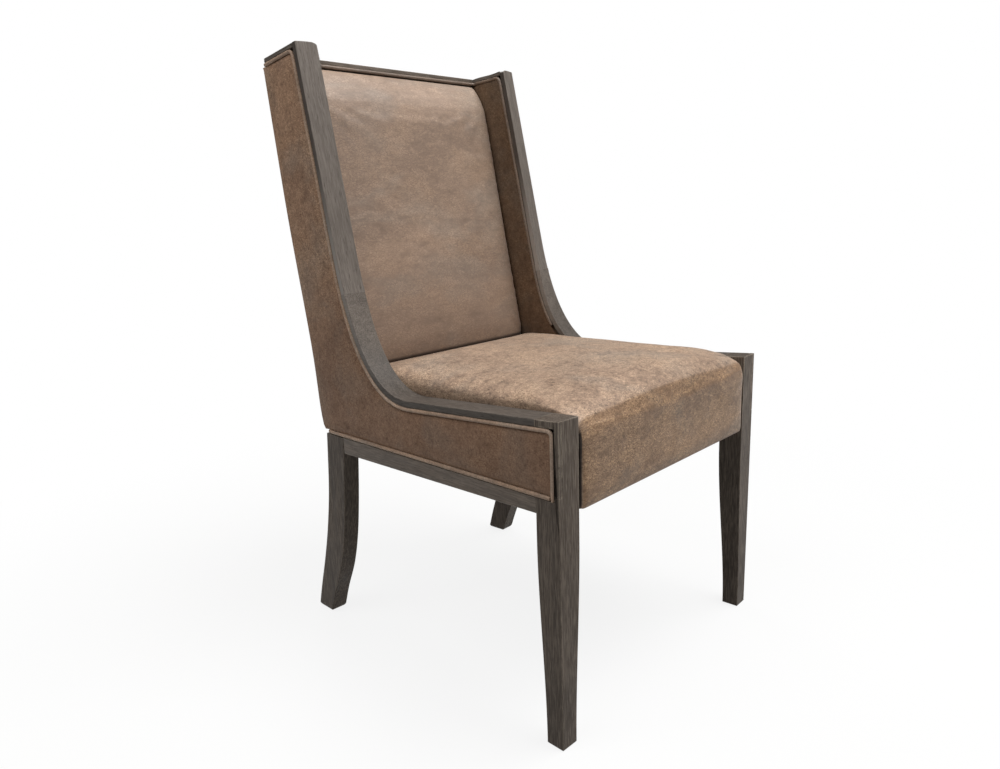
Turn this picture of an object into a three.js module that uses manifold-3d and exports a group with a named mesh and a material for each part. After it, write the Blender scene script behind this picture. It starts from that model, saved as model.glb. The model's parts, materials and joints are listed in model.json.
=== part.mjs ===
// A parsons dining chair with low show-wood arms that sweep up into wings.
// Millimetres, +Z up. The chair stands on z = 0 and faces -Y. Left and right are the sitter's, left on +X.
// Each side frame is drawn in its own plane: t runs in from the outer face, u runs back from the front
// edge of the post, z runs up. The plane then turns in a little towards the back.
import * as THREE from "three";
import { mergeVertices } from "three/addons/utils/BufferGeometryUtils.js";
import Module from "manifold-3d";

const wasm = await Module();
wasm.setup();

// Driving dimensions
const FRONT_WIDTH = 546; // over the outer faces of the front legs
const SIDE_TAPER = THREE.MathUtils.degToRad(1.97);
const GAP = 0.3; // between pieces that touch

const FRAME = 40; // width of the show-wood faces
const TRIM = 10; // show-wood edge beside the side panels
const WEB = 24; // height of the hidden web under the trim
const CORE_OUT = 11; // hidden core of the side frame, from here
const CORE_IN = 31; // to here
const EASE = 1.2; // eased arrises

const ARM_HEIGHT = 473.4;
const ARM_FALL = 0.0675; // the arm falls towards the back
const SWOOP_START = 303;
const SWOOP_START_PULL = 77;
const SWOOP_END = 665; // height where the wing runs straight
const SWOOP_END_PULL = 142;
const JOINT_HEIGHT = 608; // butt joint between arm and wing stile
const TOP_HEIGHT = 1000; // top of the wing's front edge
const TOP_DEPTH = 532.4;
const WING_RAKE = 0.206;
const TOP_FALL = 0.1214; // the wing's top falls towards the back
const TOP_REAR = 631.3;
const TOP_TRIM = 6.8;
const WING_TURN = 7.6; // how far the wing's inner arris stands in front of its outer one
const WING_NARROW = 4; // how much narrower the wing's face is than the arm's
const TURN_START = 480; // heights between which the arm turns into the wing's face
const TURN_END = 650;
const TURN_FADE = [36, 43, 51, 58]; // depths behind the wing's front edge over which the turn fades away

const POST_DEPTH = 41;
const FOOT_WIDTH = 29.5;
const FOOT_DEPTH = 29;
const TAPER_TOP = 310;
const STRIP_DEPTH = 8;
const STRIP_THICKNESS = 5.5;
const STRIP_FOOT = 372;

const RAIL_BOTTOM = 342.4; // at the front; the rails fall towards the back
const RAIL_FALL = 0.0227;
const SHOW_TOP = 364.5; // top of the show face of the side rails
const SHOW_FALL = 0.0085;
const RAIL_INNER = 31;
const RAIL_TOP = 402;
const FRONT_RAIL_FRONT = 12.5;
const FRONT_RAIL_BACK = 36;
const REAR_RAIL_FRONT = 508;
const REAR_RAIL_BACK = 536;
const REAR_RAIL_STEP = 526;

const GLIDE_RADIUS = 9;
const GLIDE_HEIGHT = 2.5;
const NAIL_RADIUS = 1.5;
const NAIL_TOP = 16;
const LEG_END = 0.6; // the glides are let into the feet and stand out by this much

const WELT_RADIUS = 3.1;
const WELT_ROOM = 7; // a welt and the gaps beside it
const WELT_CORNER = 9;
const OUTER_PANEL_FACE = -1.8;
const OUTER_PANEL_BACK = 10.4;
const INNER_PANEL_FACE = 40.3;
const CUSHION_INSET = 41.2;

const BACK_LEVEL = 479; // where the seat meets the back
const BACK_FACE = 481.7; // front of the back cushion at that height, at its sides
const BACK_RAKE = 0.1887;
const BACK_SWELL = 9; // how far the back stands out between its sides
const BACK_TURN = 918; // above this the back curves away to the top rail
const BACK_TURN_RADIUS = 86;
const BACK_TOP = 976.5;
const BACK_FOOT = 440;
const BACK_PANEL = 9.3; // thickness of the outside back

// Curves of the side profile, as points [u, z]
const armTop = (u) => ARM_HEIGHT - ARM_FALL * u;
const wingTop = (u) => TOP_HEIGHT - TOP_FALL * (u - TOP_DEPTH);
const wingFront = (z) => TOP_DEPTH - WING_RAKE * (TOP_HEIGHT - z);
const railBottom = (y) => RAIL_BOTTOM - RAIL_FALL * y;
const showTop = (u) => SHOW_TOP - SHOW_FALL * u;
const strapFace = (z) => 497 + 0.23 * (z - 480);
function backFace(z) {
  const over = Math.max(0, z - BACK_TURN);
  const turned = BACK_TURN_RADIUS - Math.sqrt(BACK_TURN_RADIUS ** 2 - over ** 2);
  return BACK_FACE + BACK_RAKE * (z - BACK_LEVEL) + turned;
}

const swoop = (() => {
  const start = new THREE.Vector2(SWOOP_START, armTop(SWOOP_START));
  const end = new THREE.Vector2(TOP_DEPTH - WING_RAKE * (TOP_HEIGHT - SWOOP_END), SWOOP_END);
  const along = new THREE.Vector2(1, -ARM_FALL).setLength(SWOOP_START_PULL);
  const up = new THREE.Vector2(WING_RAKE, 1).setLength(SWOOP_END_PULL);
  return new THREE.CubicBezierCurve(start, start.clone().add(along), end.clone().sub(up), end);
})();

const SWOOP_STEPS = 20;
const jointAt = (() => {
  let low = 0;
  let high = 1;
  for (let i = 0; i < 40; i++) {
    const middle = (low + high) / 2;
    if (swoop.getPoint(middle).y < JOINT_HEIGHT) low = middle;
    else high = middle;
  }
  return low;
})();

// Points of the front edge of arm and wing with their directions. from and to run over the swoop from
// 0 to 1, and -1 and 2 add the straight arm and the straight wing.
function ridge(from, to, firstDepth = 0) {
  const points = [];
  const armWay = new THREE.Vector2(1, -ARM_FALL).normalize();
  const wingWay = new THREE.Vector2(WING_RAKE, 1).normalize();
  if (from < 0) {
    points.push({ at: new THREE.Vector2(firstDepth, armTop(firstDepth)), way: armWay });
  }
  const low = Math.max(from, 0);
  const high = Math.min(to, 1);
  const steps = Math.max(2, Math.round((high - low) * SWOOP_STEPS));
  for (let i = 0; i <= steps; i++) {
    const k = low + ((high - low) * i) / steps;
    points.push({ at: swoop.getPoint(k), way: swoop.getTangent(k) });
  }
  if (to > 1) points.push({ at: new THREE.Vector2(TOP_DEPTH, TOP_HEIGHT), way: wingWay });
  return points;
}

// The ridge moved by a distance under the arm and behind the wing
function behindRidge(from, to, distance, firstDepth = 0) {
  return ridge(from, to, firstDepth).map(({ at, way }) => [at.x + way.y * distance, at.y - way.x * distance]);
}

const rearLine = (() => {
  const knots = [
    [541, 366],
    [549, 405],
    [561, 513],
    [598, 717],
    [620, 866],
    [637, 990],
  ];
  const curve = new THREE.SplineCurve(knots.map(([u, z]) => new THREE.Vector2(u, z)));
  return curve.getPoints(60);
})();

// Depth of the upholstered back at a height
function rearAt(z) {
  const i = Math.max(1, rearLine.findIndex((p) => p.y >= z));
  const upper = rearLine[i === -1 ? rearLine.length - 1 : i];
  const lower = rearLine[i - 1];
  return lower.x + ((upper.x - lower.x) * (z - lower.y)) / (upper.y - lower.y);
}

function rearCurve(fromZ, toZ, inset, steps = 12) {
  return Array.from({ length: steps + 1 }, (_, i) => {
    const z = fromZ + ((toZ - fromZ) * i) / steps;
    return [rearAt(z) - inset, z];
  });
}

function smooth(knots, steps) {
  const curve = new THREE.SplineCurve(knots.map(([a, b]) => new THREE.Vector2(a, b)));
  return curve.getPoints(steps).map((p) => [p.x, p.y]);
}

// Rounds one corner of an outline
function rounded(before, corner, after, radius, steps = 4) {
  const c = new THREE.Vector2(...corner);
  const a = c.clone().add(new THREE.Vector2(...before).sub(c).setLength(radius));
  const b = c.clone().add(new THREE.Vector2(...after).sub(c).setLength(radius));
  return new THREE.QuadraticBezierCurve(a, c, b).getPoints(steps).map((p) => [p.x, p.y]);
}

// The wing's face turns out as it rises: its inner arris comes forward and the face narrows
function turned(t, u, z) {
  const { clamp, smoothstep } = THREE.MathUtils;
  const fade = smoothstep(u - wingFront(z), TURN_FADE[0], TURN_FADE[3]);
  const share = smoothstep(z, TURN_START, TURN_END) * (1 - fade);
  const across = clamp((t - CORE_OUT) / (FRAME - CORE_OUT), 0, 1);
  return [t - WING_NARROW * share * across, u - (WING_TURN * share * t) / FRAME, z];
}

// Builders
const SIDE_AXES = new THREE.Matrix4().makeBasis(
  new THREE.Vector3(0, 1, 0),
  new THREE.Vector3(0, 0, 1),
  new THREE.Vector3(1, 0, 0),
);

// A slab whose outline lies in the plane of depth and height, from one width to another
function slab(outline, from, to, bevel = 0, steps = 1) {
  const shape = new THREE.Shape(outline.map(([u, z]) => new THREE.Vector2(u, z)));
  const geometry = new THREE.ExtrudeGeometry(shape, {
    depth: to - from - 2 * bevel,
    steps,
    bevelEnabled: bevel > 0,
    bevelThickness: bevel,
    bevelSize: bevel,
    bevelOffset: -bevel,
    bevelSegments: 2,
  });
  geometry.translate(0, 0, from + bevel);
  return geometry.applyMatrix4(SIDE_AXES);
}

function block(low, high) {
  const size = high.map((v, i) => v - low[i]);
  const middle = high.map((v, i) => (v + low[i]) / 2);
  return new THREE.BoxGeometry(...size).translate(...middle);
}

function solid(geometry) {
  const bare = geometry.clone();
  bare.deleteAttribute("normal");
  bare.deleteAttribute("uv");
  const merged = mergeVertices(bare, 1e-3);
  return new wasm.Manifold(
    new wasm.Mesh({
      numProp: 3,
      vertProperties: merged.attributes.position.array,
      triVerts: Uint32Array.from(merged.index.array),
    }),
  );
}

function surface(shape) {
  const { numProp, numVert, vertProperties, triVerts } = shape.getMesh();
  const positions = new Float32Array(numVert * 3);
  for (let i = 0; i < numVert; i++) {
    positions.set(vertProperties.subarray(i * numProp, i * numProp + 3), i * 3);
  }
  const geometry = new THREE.BufferGeometry();
  geometry.setAttribute("position", new THREE.BufferAttribute(positions, 3));
  geometry.setIndex(new THREE.BufferAttribute(triVerts, 1));
  const faceted = geometry.toNonIndexed();
  faceted.computeVertexNormals();
  return faceted;
}

// A solid between rings of points that all have the same count; the end rings are convex
function loft(rings) {
  const count = rings[0].length;
  const positions = [];
  const triangle = (...corners) => corners.forEach((p) => positions.push(p.x, p.y, p.z));
  for (let r = 0; r + 1 < rings.length; r++) {
    for (let i = 0; i < count; i++) {
      const j = (i + 1) % count;
      triangle(rings[r][i], rings[r][j], rings[r + 1][j]);
      triangle(rings[r][i], rings[r + 1][j], rings[r + 1][i]);
    }
  }
  const first = rings[0];
  const last = rings[rings.length - 1];
  for (let i = 1; i + 1 < count; i++) {
    triangle(first[0], first[i + 1], first[i]);
    triangle(last[0], last[i], last[i + 1]);
  }
  const geometry = new THREE.BufferGeometry();
  geometry.setAttribute("position", new THREE.Float32BufferAttribute(positions, 3));
  geometry.computeVertexNormals();
  return geometry;
}

// A curve whose steps fall on its own points, so a tube bends only where it should
class Route extends THREE.Curve {
  constructor(points) {
    super();
    this.points = points;
  }
  getPoint(k, target = new THREE.Vector3()) {
    const place = THREE.MathUtils.clamp(k, 0, 1) * (this.points.length - 1);
    const i = Math.min(Math.floor(place), this.points.length - 2);
    return target.lerpVectors(this.points[i], this.points[i + 1], place - i);
  }
  getUtoTmapping(k) {
    return k;
  }
}

function tube(points, radius, sides = 6) {
  const ring = Array.from({ length: sides }, (_, i) => {
    const angle = (2 * Math.PI * i) / sides;
    return new THREE.Vector2(radius * Math.cos(angle), radius * Math.sin(angle));
  });
  return new THREE.ExtrudeGeometry(new THREE.Shape(ring), {
    steps: points.length - 1,
    extrudePath: new Route(points),
    bevelEnabled: false,
  });
}

// Side frame places in the chair's own frame, for the sitter's right side at -X
const sidePlace = new THREE.Matrix4()
  .makeTranslation(-FRONT_WIDTH / 2, 0, 0)
  .multiply(new THREE.Matrix4().makeRotationZ(-SIDE_TAPER));
const mirror = new THREE.Matrix4().makeScale(-1, 1, 1);
const onSide = (t, u, z) => new THREE.Vector3(t, u, z).applyMatrix4(sidePlace);
const mirrored = (p) => new THREE.Vector3(-p.x, p.y, p.z);

// Half the width between the two planes at depth t, at a place y
function halfWidth(t, y) {
  const u = (y + t * Math.sin(SIDE_TAPER)) / Math.cos(SIDE_TAPER);
  return -onSide(t, u, 0).x;
}

// A piece that spans the chair between the planes at depth t, from a profile of [y, z] points
function span(profile, t, steps = 1) {
  const geometry = slab(profile, -1, 1, 0, steps);
  const places = geometry.getAttribute("position");
  for (let i = 0; i < places.count; i++) {
    places.setX(i, places.getX(i) * halfWidth(t, places.getY(i)));
  }
  return geometry;
}

// A stub tenon drawn in the side frame, at both ends of a cross piece
function bothEnds(tenon) {
  const right = tenon.clone().applyMatrix4(sidePlace);
  const left = right.clone().applyMatrix4(mirror);
  const index = [];
  const count = left.getAttribute("position").count;
  const old = left.index;
  for (let i = 0; i < (old ? old.count : count); i += 3) {
    const corner = (k) => (old ? old.getX(i + k) : i + k);
    index.push(corner(0), corner(2), corner(1));
  }
  left.setIndex(index);
  return [solid(right), solid(left)];
}

// Materials
const finish = (color, roughness, metalness = 0) =>
  new THREE.MeshStandardMaterial({ color, roughness, metalness });
const showWood = finish(0x5f5852, 0.55);
const rawWood = finish(0xb9935f, 0.75);
const leather = finish(0x836853, 0.6);
const weltLeather = finish(0x8a705c, 0.55);
const webbing = finish(0x2e2c2a, 0.9);
const cambric = finish(0x1f1e1d, 0.95);
const nylon = finish(0xd9d5cc, 0.4);

// Joints of the side frame, each drawn once: the tenon is added to one piece and, a little larger, cut
// from the other
const grown = (low, high) => block(low.map((v) => v - GAP), high.map((v) => v + GAP));
const SIDE_TENON_FRONT = [[15, 20, 352], [27, POST_DEPTH + 8, 388]];
const SIDE_TENON_REAR = [[15, 476, 352], [27, 504, 388]];
const FRONT_TENON = [[28.5, 18, 352], [FRAME + 8, 30, 388]];
const REAR_TENON = [[20, 511, 350], [RAIL_INNER + 8, 523, 388]];
const LOWER_TENON = [[20, 519, 478], [CORE_IN + 8, 533, 506]];
const TOP_TENON = [[20, 612, 940], [CORE_IN + 8, 619, 966]];

const DOWEL_RADIUS = 4;
const DOWEL_LENGTH = 40;
const DOWEL_SIDES = 16;

// A dowel through a point of the side frame, along a direction in its plane
function dowel({ at, way }, radius = DOWEL_RADIUS, length = DOWEL_LENGTH) {
  const turn = Math.atan2(way.y, way.x);
  return new THREE.CylinderGeometry(radius, radius, length, DOWEL_SIDES).rotateX(turn).translate(...at);
}
const armDowels = [17, 28].map((drop) => {
  const way = new THREE.Vector2(1, -ARM_FALL);
  return { at: [(CORE_OUT + CORE_IN) / 2, POST_DEPTH, armTop(POST_DEPTH) - drop], way };
});
const stileDowel = (() => {
  const at = swoop.getPoint(jointAt);
  const way = swoop.getTangent(jointAt);
  const middle = TRIM + WEB / 2;
  return { at: turned((CORE_OUT + CORE_IN) / 2, at.x + way.y * middle, at.y - way.x * middle), way };
})();
const dowelHole = (place) => solid(dowel(place, DOWEL_RADIUS + GAP, DOWEL_LENGTH + 2 * GAP));

// Front leg: a square post whose two inner faces taper below the seat
function frontLeg() {
  const ease = (x) => x * x * (3 - 2 * x);
  const ring = (z, inset = 0) => {
    const k = 1 - ease(THREE.MathUtils.clamp(z / TAPER_TOP, 0, 1));
    const width = FRAME - (FRAME - FOOT_WIDTH) * k;
    const depth = POST_DEPTH - (POST_DEPTH - FOOT_DEPTH) * k;
    const corners = [[0, 0, 1, 1], [width, 0, -1, 1], [width, depth, -1, -1], [0, depth, 1, -1]];
    return corners.flatMap(([t, u, inT, inU], i) => {
      const a = [t + inT * (inset + EASE), u + inU * inset];
      const b = [t + inT * inset, u + inU * (inset + EASE)];
      const pair = i % 2 ? [a, b] : [b, a];
      return pair.map(([x, y]) => new THREE.Vector3(x, y, z));
    });
  };
  const rings = [ring(LEG_END, EASE), ring(LEG_END + EASE)];
  const steps = 7;
  for (let i = 1; i <= steps; i++) rings.push(ring((TAPER_TOP * i) / steps));
  const sloped = (points, drop) => points.map((p) => p.setZ(armTop(p.y) - drop));
  rings.push(sloped(ring(ARM_HEIGHT), EASE), sloped(ring(ARM_HEIGHT, EASE), 0));
  const panelRoom = [
    [STRIP_DEPTH + GAP, showTop(STRIP_DEPTH)],
    [POST_DEPTH + 5, showTop(POST_DEPTH)],
    [POST_DEPTH + 5, armTop(POST_DEPTH + 5) - TRIM],
    [STRIP_DEPTH + GAP, armTop(STRIP_DEPTH) - TRIM],
  ];
  const stripRoom = block([-5, -5, STRIP_FOOT], [STRIP_THICKNESS + GAP, STRIP_DEPTH + GAP, ARM_HEIGHT + 5]);
  let leg = solid(loft(rings))
    .subtract(solid(slab(panelRoom, -5, CORE_OUT)))
    .subtract(solid(stripRoom))
    .subtract(solid(grown(...SIDE_TENON_FRONT)))
    .subtract(solid(grown(...FRONT_TENON)))
    .subtract(glideSeat(FOOT_WIDTH / 2, FOOT_DEPTH / 2));
  for (const place of armDowels) leg = leg.subtract(dowelHole(place));
  return leg;
}

function postStrip() {
  const outline = [
    [0, STRIP_FOOT + GAP],
    [STRIP_DEPTH, STRIP_FOOT + GAP],
    [STRIP_DEPTH, armTop(STRIP_DEPTH)],
    [0, ARM_HEIGHT],
  ];
  return slab(outline, 0, STRIP_THICKNESS, EASE * 0.8);
}

// Rear leg: a swept-back foot that goes on inside the wing as the back post
const REAR_FOOT = 592;
function rearLeg() {
  const rearKnots = [[613, LEG_END], [600, 45], [578, 113], [560, 180], [546, 256], [536.5, 359.5]];
  const frontKnots = [[486, 359.5], [491, 300], [499, 230], [510, 164], [527, 105], [553, 48], [571, LEG_END]];
  const foot = slab([...smooth(rearKnots, 22), ...smooth(frontKnots, 22)], 0, RAIL_INNER, EASE);
  const low = 340;
  const depth = (z) => THREE.MathUtils.mapLinear(z, low, TOP_HEIGHT, 44.5, 29);
  const postFront = (z) => rearAt(Math.max(z, 366)) - BACK_PANEL - GAP - depth(z);
  const capHeight = (u) => wingTop(u) - TOP_TRIM - GAP;
  const postRear = rearCurve(376, 970, BACK_PANEL + GAP);
  const upper = [
    [postFront(low), low],
    [REAR_RAIL_STEP, low],
    [REAR_RAIL_STEP, 370],
    ...postRear,
    [626, capHeight(626)],
    [postFront(984), capHeight(postFront(984))],
    ...[900, 800, 700, 600, 500, 420].map((z) => [postFront(z), z]),
  ];
  return solid(foot)
    .add(solid(slab(upper, CORE_OUT, CORE_IN)))
    .subtract(solid(grown(...SIDE_TENON_REAR)))
    .subtract(solid(grown(...REAR_TENON)))
    .subtract(solid(grown(...LOWER_TENON)))
    .subtract(solid(grown(...TOP_TENON)))
    .subtract(glideSeat(RAIL_INNER / 2, REAR_FOOT));
}

function sideRail() {
  const front = POST_DEPTH + GAP;
  const back = 486 - GAP;
  const show = [
    [front, railBottom(front)],
    [back, railBottom(back)],
    [back, showTop(back)],
    [front, showTop(front)],
  ];
  const core = [
    [front, showTop(front) - 5],
    [back, showTop(back) - 5],
    [back, RAIL_TOP],
    [front, RAIL_TOP],
  ];
  return solid(slab(show, 0, RAIL_INNER, EASE))
    .add(solid(slab(core, CORE_OUT, RAIL_INNER)))
    .add(solid(block(...SIDE_TENON_FRONT)))
    .add(solid(block(...SIDE_TENON_REAR)));
}

// Sections across the side frame as points [t, depth under the face]: a show-wood strip, and the web below
const stripSection = (thickness) => [
  [EASE, 0],
  [FRAME - EASE, 0],
  [FRAME, EASE],
  [FRAME, thickness - EASE],
  [FRAME - EASE, thickness],
  [EASE, thickness],
  [0, thickness - EASE],
  [0, EASE],
];
const webSection = [
  [CORE_OUT, TRIM - 2],
  [CORE_IN, TRIM - 2],
  [CORE_IN, TRIM + WEB],
  [CORE_OUT, TRIM + WEB],
];

// A section carried along stations of the side frame. trim puts the points of the ends where they are cut
function swept(stations, section, trim = (u, z) => [u, z]) {
  const rings = stations.map(({ at, way }, i) =>
    section.map(([t, deep]) => {
      const [u, z] = trim(at.x + way.y * deep, at.y - way.x * deep, i);
      return new THREE.Vector3(...turned(t, u, z));
    }),
  );
  return loft(rings);
}

// Arm with its swoop, and the wing stile above the joint: a show-wood flange on a narrower web. The arm's
// front end is cut square to the post, the stile's upper end along the wing's top
function trimmed(from, to, firstDepth, webTop) {
  const stations = ridge(from, to, firstDepth);
  const cut = (drop) => (u, z, i) => {
    if (from < 0 && i === 0) return [firstDepth, z];
    if (to > 1 && i === stations.length - 1) return [u, wingTop(u) - drop];
    return [u, z];
  };
  const flange = swept(stations, stripSection(TRIM), cut(0));
  const web = swept(stations, webSection, cut(webTop));
  return solid(flange).add(solid(web));
}

const jointGap = GAP / 2 / swoop.getLength();
function arm() {
  let piece = trimmed(-1, jointAt - jointGap, POST_DEPTH + GAP, 0).subtract(dowelHole(stileDowel));
  for (const place of armDowels) piece = piece.subtract(dowelHole(place));
  return piece;
}

function wingStile() {
  return trimmed(jointAt + jointGap, 2, 0, TOP_TRIM + GAP).subtract(dowelHole(stileDowel));
}

function wingTopTrim() {
  const front = TOP_DEPTH + TRIM * 1.02 + 2 * GAP;
  const depths = [front, ...TURN_FADE.map((deep) => TOP_DEPTH + deep), TOP_REAR];
  const section = stripSection(TOP_TRIM);
  const rings = depths.map((u) =>
    section.map(([t, deep]) => new THREE.Vector3(...turned(t, u, wingTop(u) - deep))),
  );
  return loft(rings);
}

// Nail-on glides, let into the feet
const GLIDE_SIDES = 20;
function glideSeat(t, u) {
  const hole = (radius, top) =>
    solid(
      new THREE.CylinderGeometry(radius + GAP, radius + GAP, 2 * (top + GAP), GLIDE_SIDES)
        .rotateX(Math.PI / 2)
        .translate(t, u, 0),
    );
  return hole(NAIL_RADIUS, NAIL_TOP).add(hole(GLIDE_RADIUS, GLIDE_HEIGHT));
}

function glide() {
  const profile = [
    [0, 0],
    [GLIDE_RADIUS - 1, 0],
    [GLIDE_RADIUS, 1],
    [GLIDE_RADIUS, GLIDE_HEIGHT],
    [NAIL_RADIUS, GLIDE_HEIGHT],
    [NAIL_RADIUS, NAIL_TOP - 2],
    [0, NAIL_TOP],
  ].map(([r, z]) => new THREE.Vector2(r, z));
  return new THREE.LatheGeometry(profile, GLIDE_SIDES).rotateX(Math.PI / 2);
}

// Seat frame
function frontRail() {
  const profile = [
    [FRONT_RAIL_FRONT, railBottom(FRONT_RAIL_FRONT)],
    [FRONT_RAIL_BACK, railBottom(FRONT_RAIL_BACK)],
    [FRONT_RAIL_BACK, RAIL_TOP],
    [FRONT_RAIL_FRONT, RAIL_TOP],
  ];
  const [right, left] = bothEnds(block(...FRONT_TENON));
  return solid(span(profile, FRAME + GAP)).add(right).add(left);
}

function rearRail() {
  const profile = [
    [REAR_RAIL_FRONT, railBottom(REAR_RAIL_FRONT)],
    [REAR_RAIL_BACK, railBottom(REAR_RAIL_BACK)],
    [REAR_RAIL_BACK, showTop(REAR_RAIL_BACK)],
    [REAR_RAIL_STEP, showTop(REAR_RAIL_BACK)],
    [REAR_RAIL_STEP, RAIL_TOP],
    [REAR_RAIL_FRONT, RAIL_TOP],
  ];
  const [right, left] = bothEnds(block(...REAR_TENON));
  return solid(span(profile, RAIL_INNER + GAP)).add(right).add(left);
}

// Corner block glued between a cross rail and a side rail, clear of the leg. across is the y of the cross
// rail's face, back the way into the seat, and legReach how far the leg comes along the side rail
function cornerBlock(across, back, legReach) {
  const sideX = (y) => -halfWidth(RAIL_INNER + GAP, y);
  const legX = -halfWidth(FRAME + 4, across);
  const y0 = across + back * GAP;
  const y1 = across + back * legReach;
  const y2 = across + back * (legReach + 46);
  const outline = [
    [sideX(y1), y1],
    [legX, y0],
    [legX + 52, y0],
    [legX + 52, y0 + back * 10],
    [sideX(y2) + 10, y2],
    [sideX(y2), y2],
  ].map(([x, y]) => new THREE.Vector2(x, y));
  const plate = new THREE.ExtrudeGeometry(new THREE.Shape(outline), { depth: 38, bevelEnabled: false });
  return plate.translate(0, 0, 356);
}

const STRAP_WIDTH = 60;
const STRAP_THICKNESS = 2.4;
const strapBack = (z) => strapFace(z) + STRAP_THICKNESS + GAP;
function seatStrap(x) {
  return block(
    [x - STRAP_WIDTH / 2, FRONT_RAIL_FRONT + 2, RAIL_TOP + GAP],
    [x + STRAP_WIDTH / 2, REAR_RAIL_STEP - 2, RAIL_TOP + GAP + STRAP_THICKNESS],
  );
}

function dustCover() {
  const top = (y) => railBottom(y) - GAP;
  const plate = (from, to, t) =>
    span([[from, top(from) - 1.2], [to, top(to) - 1.2], [to, top(to)], [from, top(from)]], t);
  return solid(plate(FRONT_RAIL_FRONT + 3, 46, FRAME + 1))
    .add(solid(plate(45, 483, 12)))
    .add(solid(plate(482, REAR_RAIL_BACK - 8, RAIL_INNER + 2)));
}

// Back frame
function backTopRail() {
  const front = 603;
  const under = (u) => wingTop(u) - TOP_TRIM;
  const cap = [
    [front, under(front)],
    [TOP_REAR, under(TOP_REAR)],
    [TOP_REAR, wingTop(TOP_REAR)],
    [front, wingTop(front)],
  ];
  const neck = [
    [614, 960],
    [620, 960],
    [624, under(624) + 3],
    [616, under(616) + 3],
  ];
  const webTop = under(617) - GAP;
  const web = [
    [strapBack(935), 935],
    ...rearCurve(935, 970, BACK_PANEL + 2 * GAP, 3),
    [625, under(625) - GAP],
    [strapBack(webTop), webTop],
  ];
  const [right, left] = bothEnds(block(...TOP_TENON));
  return solid(span(cap, FRAME + GAP))
    .add(solid(span(neck, FRAME + GAP)))
    .add(solid(span(web, CORE_IN + GAP)))
    .add(right)
    .add(left);
}

function backLowerRail() {
  const profile = [
    [strapBack(470), 470],
    [539, 470],
    [544, 515],
    [strapBack(515), 515],
  ];
  const [right, left] = bothEnds(block(...LOWER_TENON));
  return solid(span(profile, CORE_IN + GAP)).add(right).add(left);
}

function backStrap(x) {
  const face = (z, extra) => [strapFace(z) + extra, z];
  const outline = [face(476, 0), face(476, STRAP_THICKNESS), face(966, STRAP_THICKNESS), face(966, 0)];
  return slab(outline, x - STRAP_WIDTH / 2, x + STRAP_WIDTH / 2);
}

// Upholstered panels of the wings
function outerPanel() {
  const edge = TRIM + WELT_ROOM;
  const postEdge = STRIP_DEPTH + WELT_ROOM + GAP;
  const bottom = (u) => showTop(u) + WELT_ROOM;
  const front = behindRidge(-1, 2, edge, postEdge);
  front[0] = [postEdge, armTop(postEdge) - edge];
  const top = front[front.length - 1];
  top[1] = wingTop(top[0]) - TOP_TRIM - WELT_ROOM;
  const rearTop = [636, wingTop(636) - TOP_TRIM - WELT_ROOM];
  const postCorner = rounded([postEdge, bottom(postEdge)], front[0], front[1], WELT_CORNER - 3);
  const wingCorner = rounded(front[front.length - 2], top, rearTop, WELT_CORNER - 3);
  const rear = rearCurve(380, rearTop[1] - 2, 0, 14).reverse();
  const outline = [
    [postEdge, bottom(postEdge)],
    ...postCorner,
    ...front.slice(1, -1),
    ...wingCorner,
    ...rear,
    [535, bottom(535) + 1],
    [528, bottom(528)],
  ];
  return slab(outline.reverse(), OUTER_PANEL_FACE, OUTER_PANEL_BACK, 3);
}

// The inner panel is built from rows that run from its front edge to its rear edge
const INNER_PANEL_FOOT = 440;
const INNER_PANEL_EASE = 1.5;
function innerPanel() {
  const edge = TRIM + WELT_ROOM;
  const front = behindRidge(0.42, 2, edge);
  const top = front[front.length - 1];
  top[1] = wingTop(top[0]) - TOP_TRIM - WELT_ROOM;
  const rearEdge = (z) => strapFace(z) - 1.5;
  const rearTop = [rearEdge(970), wingTop(rearEdge(970)) - TOP_TRIM - WELT_ROOM];
  const wingCorner = rounded(front[front.length - 2], top, rearTop, WELT_CORNER - 3);
  const level = (u, z) => [[u, z], [rearEdge(z), z]];
  const bend = wingCorner.map(([u, z], i) => {
    const rise = i / (wingCorner.length - 1);
    const low = wingCorner[0][1];
    const rear = new THREE.Vector2(rearEdge(low), low).lerp(new THREE.Vector2(...rearTop), rise);
    return [[u, z], rear.toArray()];
  });
  const rows = [
    level(front[0][0], INNER_PANEL_FOOT),
    ...front.slice(0, -1).map(([u, z]) => level(u, z)),
    ...bend,
  ];
  const back = CORE_IN + GAP;
  const ring = ([[u0, z0], [u1, z1]], face, drop) => {
    const middle = TURN_FADE.map((deep) => wingFront((z0 + z1) / 2) + deep);
    const points = [
      [face - INNER_PANEL_EASE, u0],
      [face, u0 + INNER_PANEL_EASE],
      ...middle.map((u) => [face, u]),
      [face, u1],
      [back, u1],
      ...middle.map((u) => [back, u]).reverse(),
      [back, u0],
    ];
    return points.map(([t, u]) => {
      const z = z0 + ((z1 - z0) * (u - u0)) / (u1 - u0) - drop;
      return new THREE.Vector3(...turned(t, u, z));
    });
  };
  const rings = rows.map((row) => ring(row, INNER_PANEL_FACE, 0));
  const last = rows[rows.length - 1];
  rings[rings.length - 1] = ring(last, INNER_PANEL_FACE, INNER_PANEL_EASE);
  rings.push(ring(last, INNER_PANEL_FACE - INNER_PANEL_EASE, 0));
  return loft(rings);
}

function outsideBack() {
  const low = showTop(536) + WELT_ROOM;
  const top = (u) => wingTop(u) - TOP_TRIM - GAP;
  const outer = rearCurve(low + 8, 978, 0, 14);
  const inner = rearCurve(low + 8, 978, BACK_PANEL, 14).reverse();
  const outline = [
    [rearAt(low) - BACK_PANEL, low],
    [rearAt(low) - 4, low],
    ...outer,
    [635.4, top(635.4)],
    [627, top(627)],
    ...inner,
  ];
  return span(outline, CORE_OUT);
}

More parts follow.
